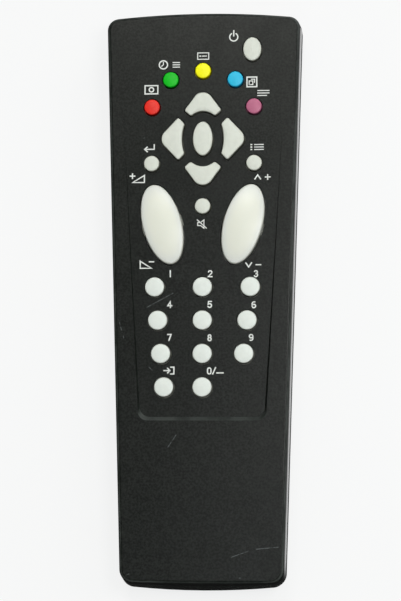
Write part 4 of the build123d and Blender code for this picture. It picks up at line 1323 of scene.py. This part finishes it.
def laminate():
    """Brown laminate, lighter along its copper tracks."""
    finish = Finish("laminate", Roughness=0.45, Coat_Weight=0.25, Coat_Roughness=0.3)
    nearest, second = (finish.add("ShaderNodeTexVoronoi",
                                  {"Vector": finish.place, "Scale": 1 / track_pitch},
                                  feature=feature, distance="MANHATTAN").outputs["Distance"]
                       for feature in ("F1", "F2"))
    track = finish.spread(finish.maths("SUBTRACT", second, nearest), 0.10, 0.13, 1.0, 0.0)
    fibre = finish.mottle(1.0, 4.0, place=finish.stretched((400, 2500, 400)))
    bare = finish.blend(fibre, srgb(116, 78, 46), srgb(140, 98, 60))
    finish.paint(track, bare, srgb(176, 124, 66))
    finish.bump(fibre, 0.01 * mm, 0.3)
    finish.bump(track, 0.035 * mm, 0.6)
    return finish.material


board_laminate = laminate()
print("tracks about", round(track_pitch / mm, 1), "mm apart")

# %% Chips
def epoxy():
    """Moulded black epoxy: fine grit and a faint cloud."""
    finish = Finish("black_epoxy", IOR=1.5)
    grit = finish.noise(0.12 * mm, 3.0)
    finish.paint(finish.spread(grit, 0.3, 0.7), srgb(24, 24, 26), srgb(44, 45, 47))
    finish.set("Roughness", finish.mottle(1.5 * mm, 2.0, 0.5, 0.65))
    finish.bump(grit, 0.015 * mm, 0.5)
    return finish.material


def chip_resistor():
    """A black body with tinned ends: the ends are the first and last part of each row, found from
    the remainder of the distance along Y by the pitch of the rows."""
    row_pitch, row_length, cap, blur = 4.4 * mm, 2.0 * mm, 0.3 * mm, 0.02 * mm
    finish = Finish("chip_resistor", Roughness=0.4)
    from_first = finish.maths("SUBTRACT", finish.axis("Y"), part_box("resistors")[0].y)
    from_middle = finish.apart(finish.maths("MODULO", from_first, row_pitch), row_length / 2)
    ends = finish.spread(from_middle, row_length / 2 - cap - blur, row_length / 2 - cap)
    glaze = finish.blend(finish.noise(0.3 * mm), srgb(22, 22, 24), srgb(40, 40, 44))
    finish.paint(ends, glaze, srgb(208, 210, 210))
    finish.set("Metallic", ends)
    finish.bump(finish.noise(0.15 * mm), 0.01 * mm, 0.4)
    return finish.material


chip_finishes = [
    (epoxy(), ["controller_chip", "drive_transistor"]),
    (chip_resistor(), ["resistors"]),
]
print("chips:", [material.name for material, _ in chip_finishes])

# %% Resonator and capacitor
def dipped_blue():
    """Blue resin that an element is dipped into: glossy, with a skin like orange peel."""
    finish = Finish("dipped_blue", Roughness=0.2, IOR=1.5, Coat_Weight=0.4, Coat_Roughness=0.08)
    peel = finish.noise(0.7 * mm)
    finish.paint(finish.spread(peel, 0.3, 0.7), srgb(32, 72, 140), srgb(48, 92, 164))
    finish.bump(peel, 0.05 * mm, 0.4)
    return finish.material


def sleeved_can():
    """A dark sleeve with a pale stripe along one side, rolled in round a bare aluminium end."""
    bare_share, stripe_share, rolled_in = 0.75, 0.7, 0.1 * mm
    low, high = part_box("storage_capacitor")
    middle = (low + high) / 2
    can_radius = high.x - middle.x
    finish = Finish("sleeved_can", Roughness=0.35)
    away = finish.vector("SUBTRACT", finish.place, (middle.x, middle.y, 0))
    flat = finish.vector("MULTIPLY", away, (1, 1, 0))
    radius = finish.vector("LENGTH", flat, result="Value")
    end = finish.product(finish.maths("LESS_THAN", radius, bare_share * can_radius),
                         finish.maths("LESS_THAN", finish.axis("Z"), low.z + rolled_in))
    stripe = finish.maths("GREATER_THAN", finish.axis("X", away), stripe_share * can_radius)
    cloud = finish.noise(1.2 * mm)
    dark = finish.blend(cloud, srgb(24, 30, 52), srgb(36, 44, 70))
    finish.paint(end, finish.blend(stripe, dark, srgb(186, 190, 196)), srgb(206, 207, 208))
    finish.set("Metallic", end)
    finish.bump(cloud, 0.02 * mm, 0.3)
    return finish.material


can_finishes = [
    (dipped_blue(), ["ceramic_resonator"]),
    (sleeved_can(), ["storage_capacitor"]),
]
print("leaded parts:", [material.name for material, _ in can_finishes])

# %% Lens and window
def clear_lens():
    """Water-clear resin with a faint blue tint, slightly uneven where it left its mould."""
    finish = Finish("clear_lens", Roughness=0.06, IOR=1.52, Transmission_Weight=0.9)
    flow = finish.noise(1.5 * mm)
    finish.paint(flow, srgb(196, 208, 232), srgb(224, 230, 242))
    finish.bump(flow, 0.01 * mm, 0.3)
    return finish.material


def dark_window():
    """Polished plastic that only infrared light passes: almost black, with a deep red cast and
    fine hairlines from handling."""
    finish = Finish("dark_window", IOR=1.5, Coat_Weight=0.5, Coat_Roughness=0.05)
    hairs = finish.noise(1.0, 3.0, finish.stretched((350, 900, 4200), (0.3, 0, 0)))
    cloud = finish.noise(3 * mm)
    finish.paint(cloud, (0.010, 0.0022, 0.0028, 1), (0.020, 0.004, 0.005, 1))
    finish.set("Roughness", finish.spread(hairs, 0.45, 0.75, 0.07, 0.22))
    finish.bump(cloud, 0.01 * mm, 0.3)
    return finish.material


infrared_finishes = [
    (clear_lens(), ["ir_led"]),
    (dark_window(), ["ir_window"]),
]
print("infrared parts:", [material.name for material, _ in infrared_finishes])

# %% Finishes on the nodes
node_finishes = [
    (mat_silicone, ["keypad_mat"]),
    (board_laminate, ["circuit_board"]),
    (carbon, ["contact_pads"]),
    (tin, ["chip_legs", "led_legs"]),
    (nickel, ["positive_terminal", "negative_terminal", "series_link", "battery_springs"]),
    (zinc, ["case_screws", "board_screws"]),
    (steel, ["cell_terminals"]),
]
node_finishes += chip_finishes + can_finishes + infrared_finishes
for material, nodes in node_finishes:
    for node in nodes:
        for material_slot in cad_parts[node].material_slots:
            material_slot.material = material
print("new finishes on the nodes that keep their shape:", len(node_finishes))
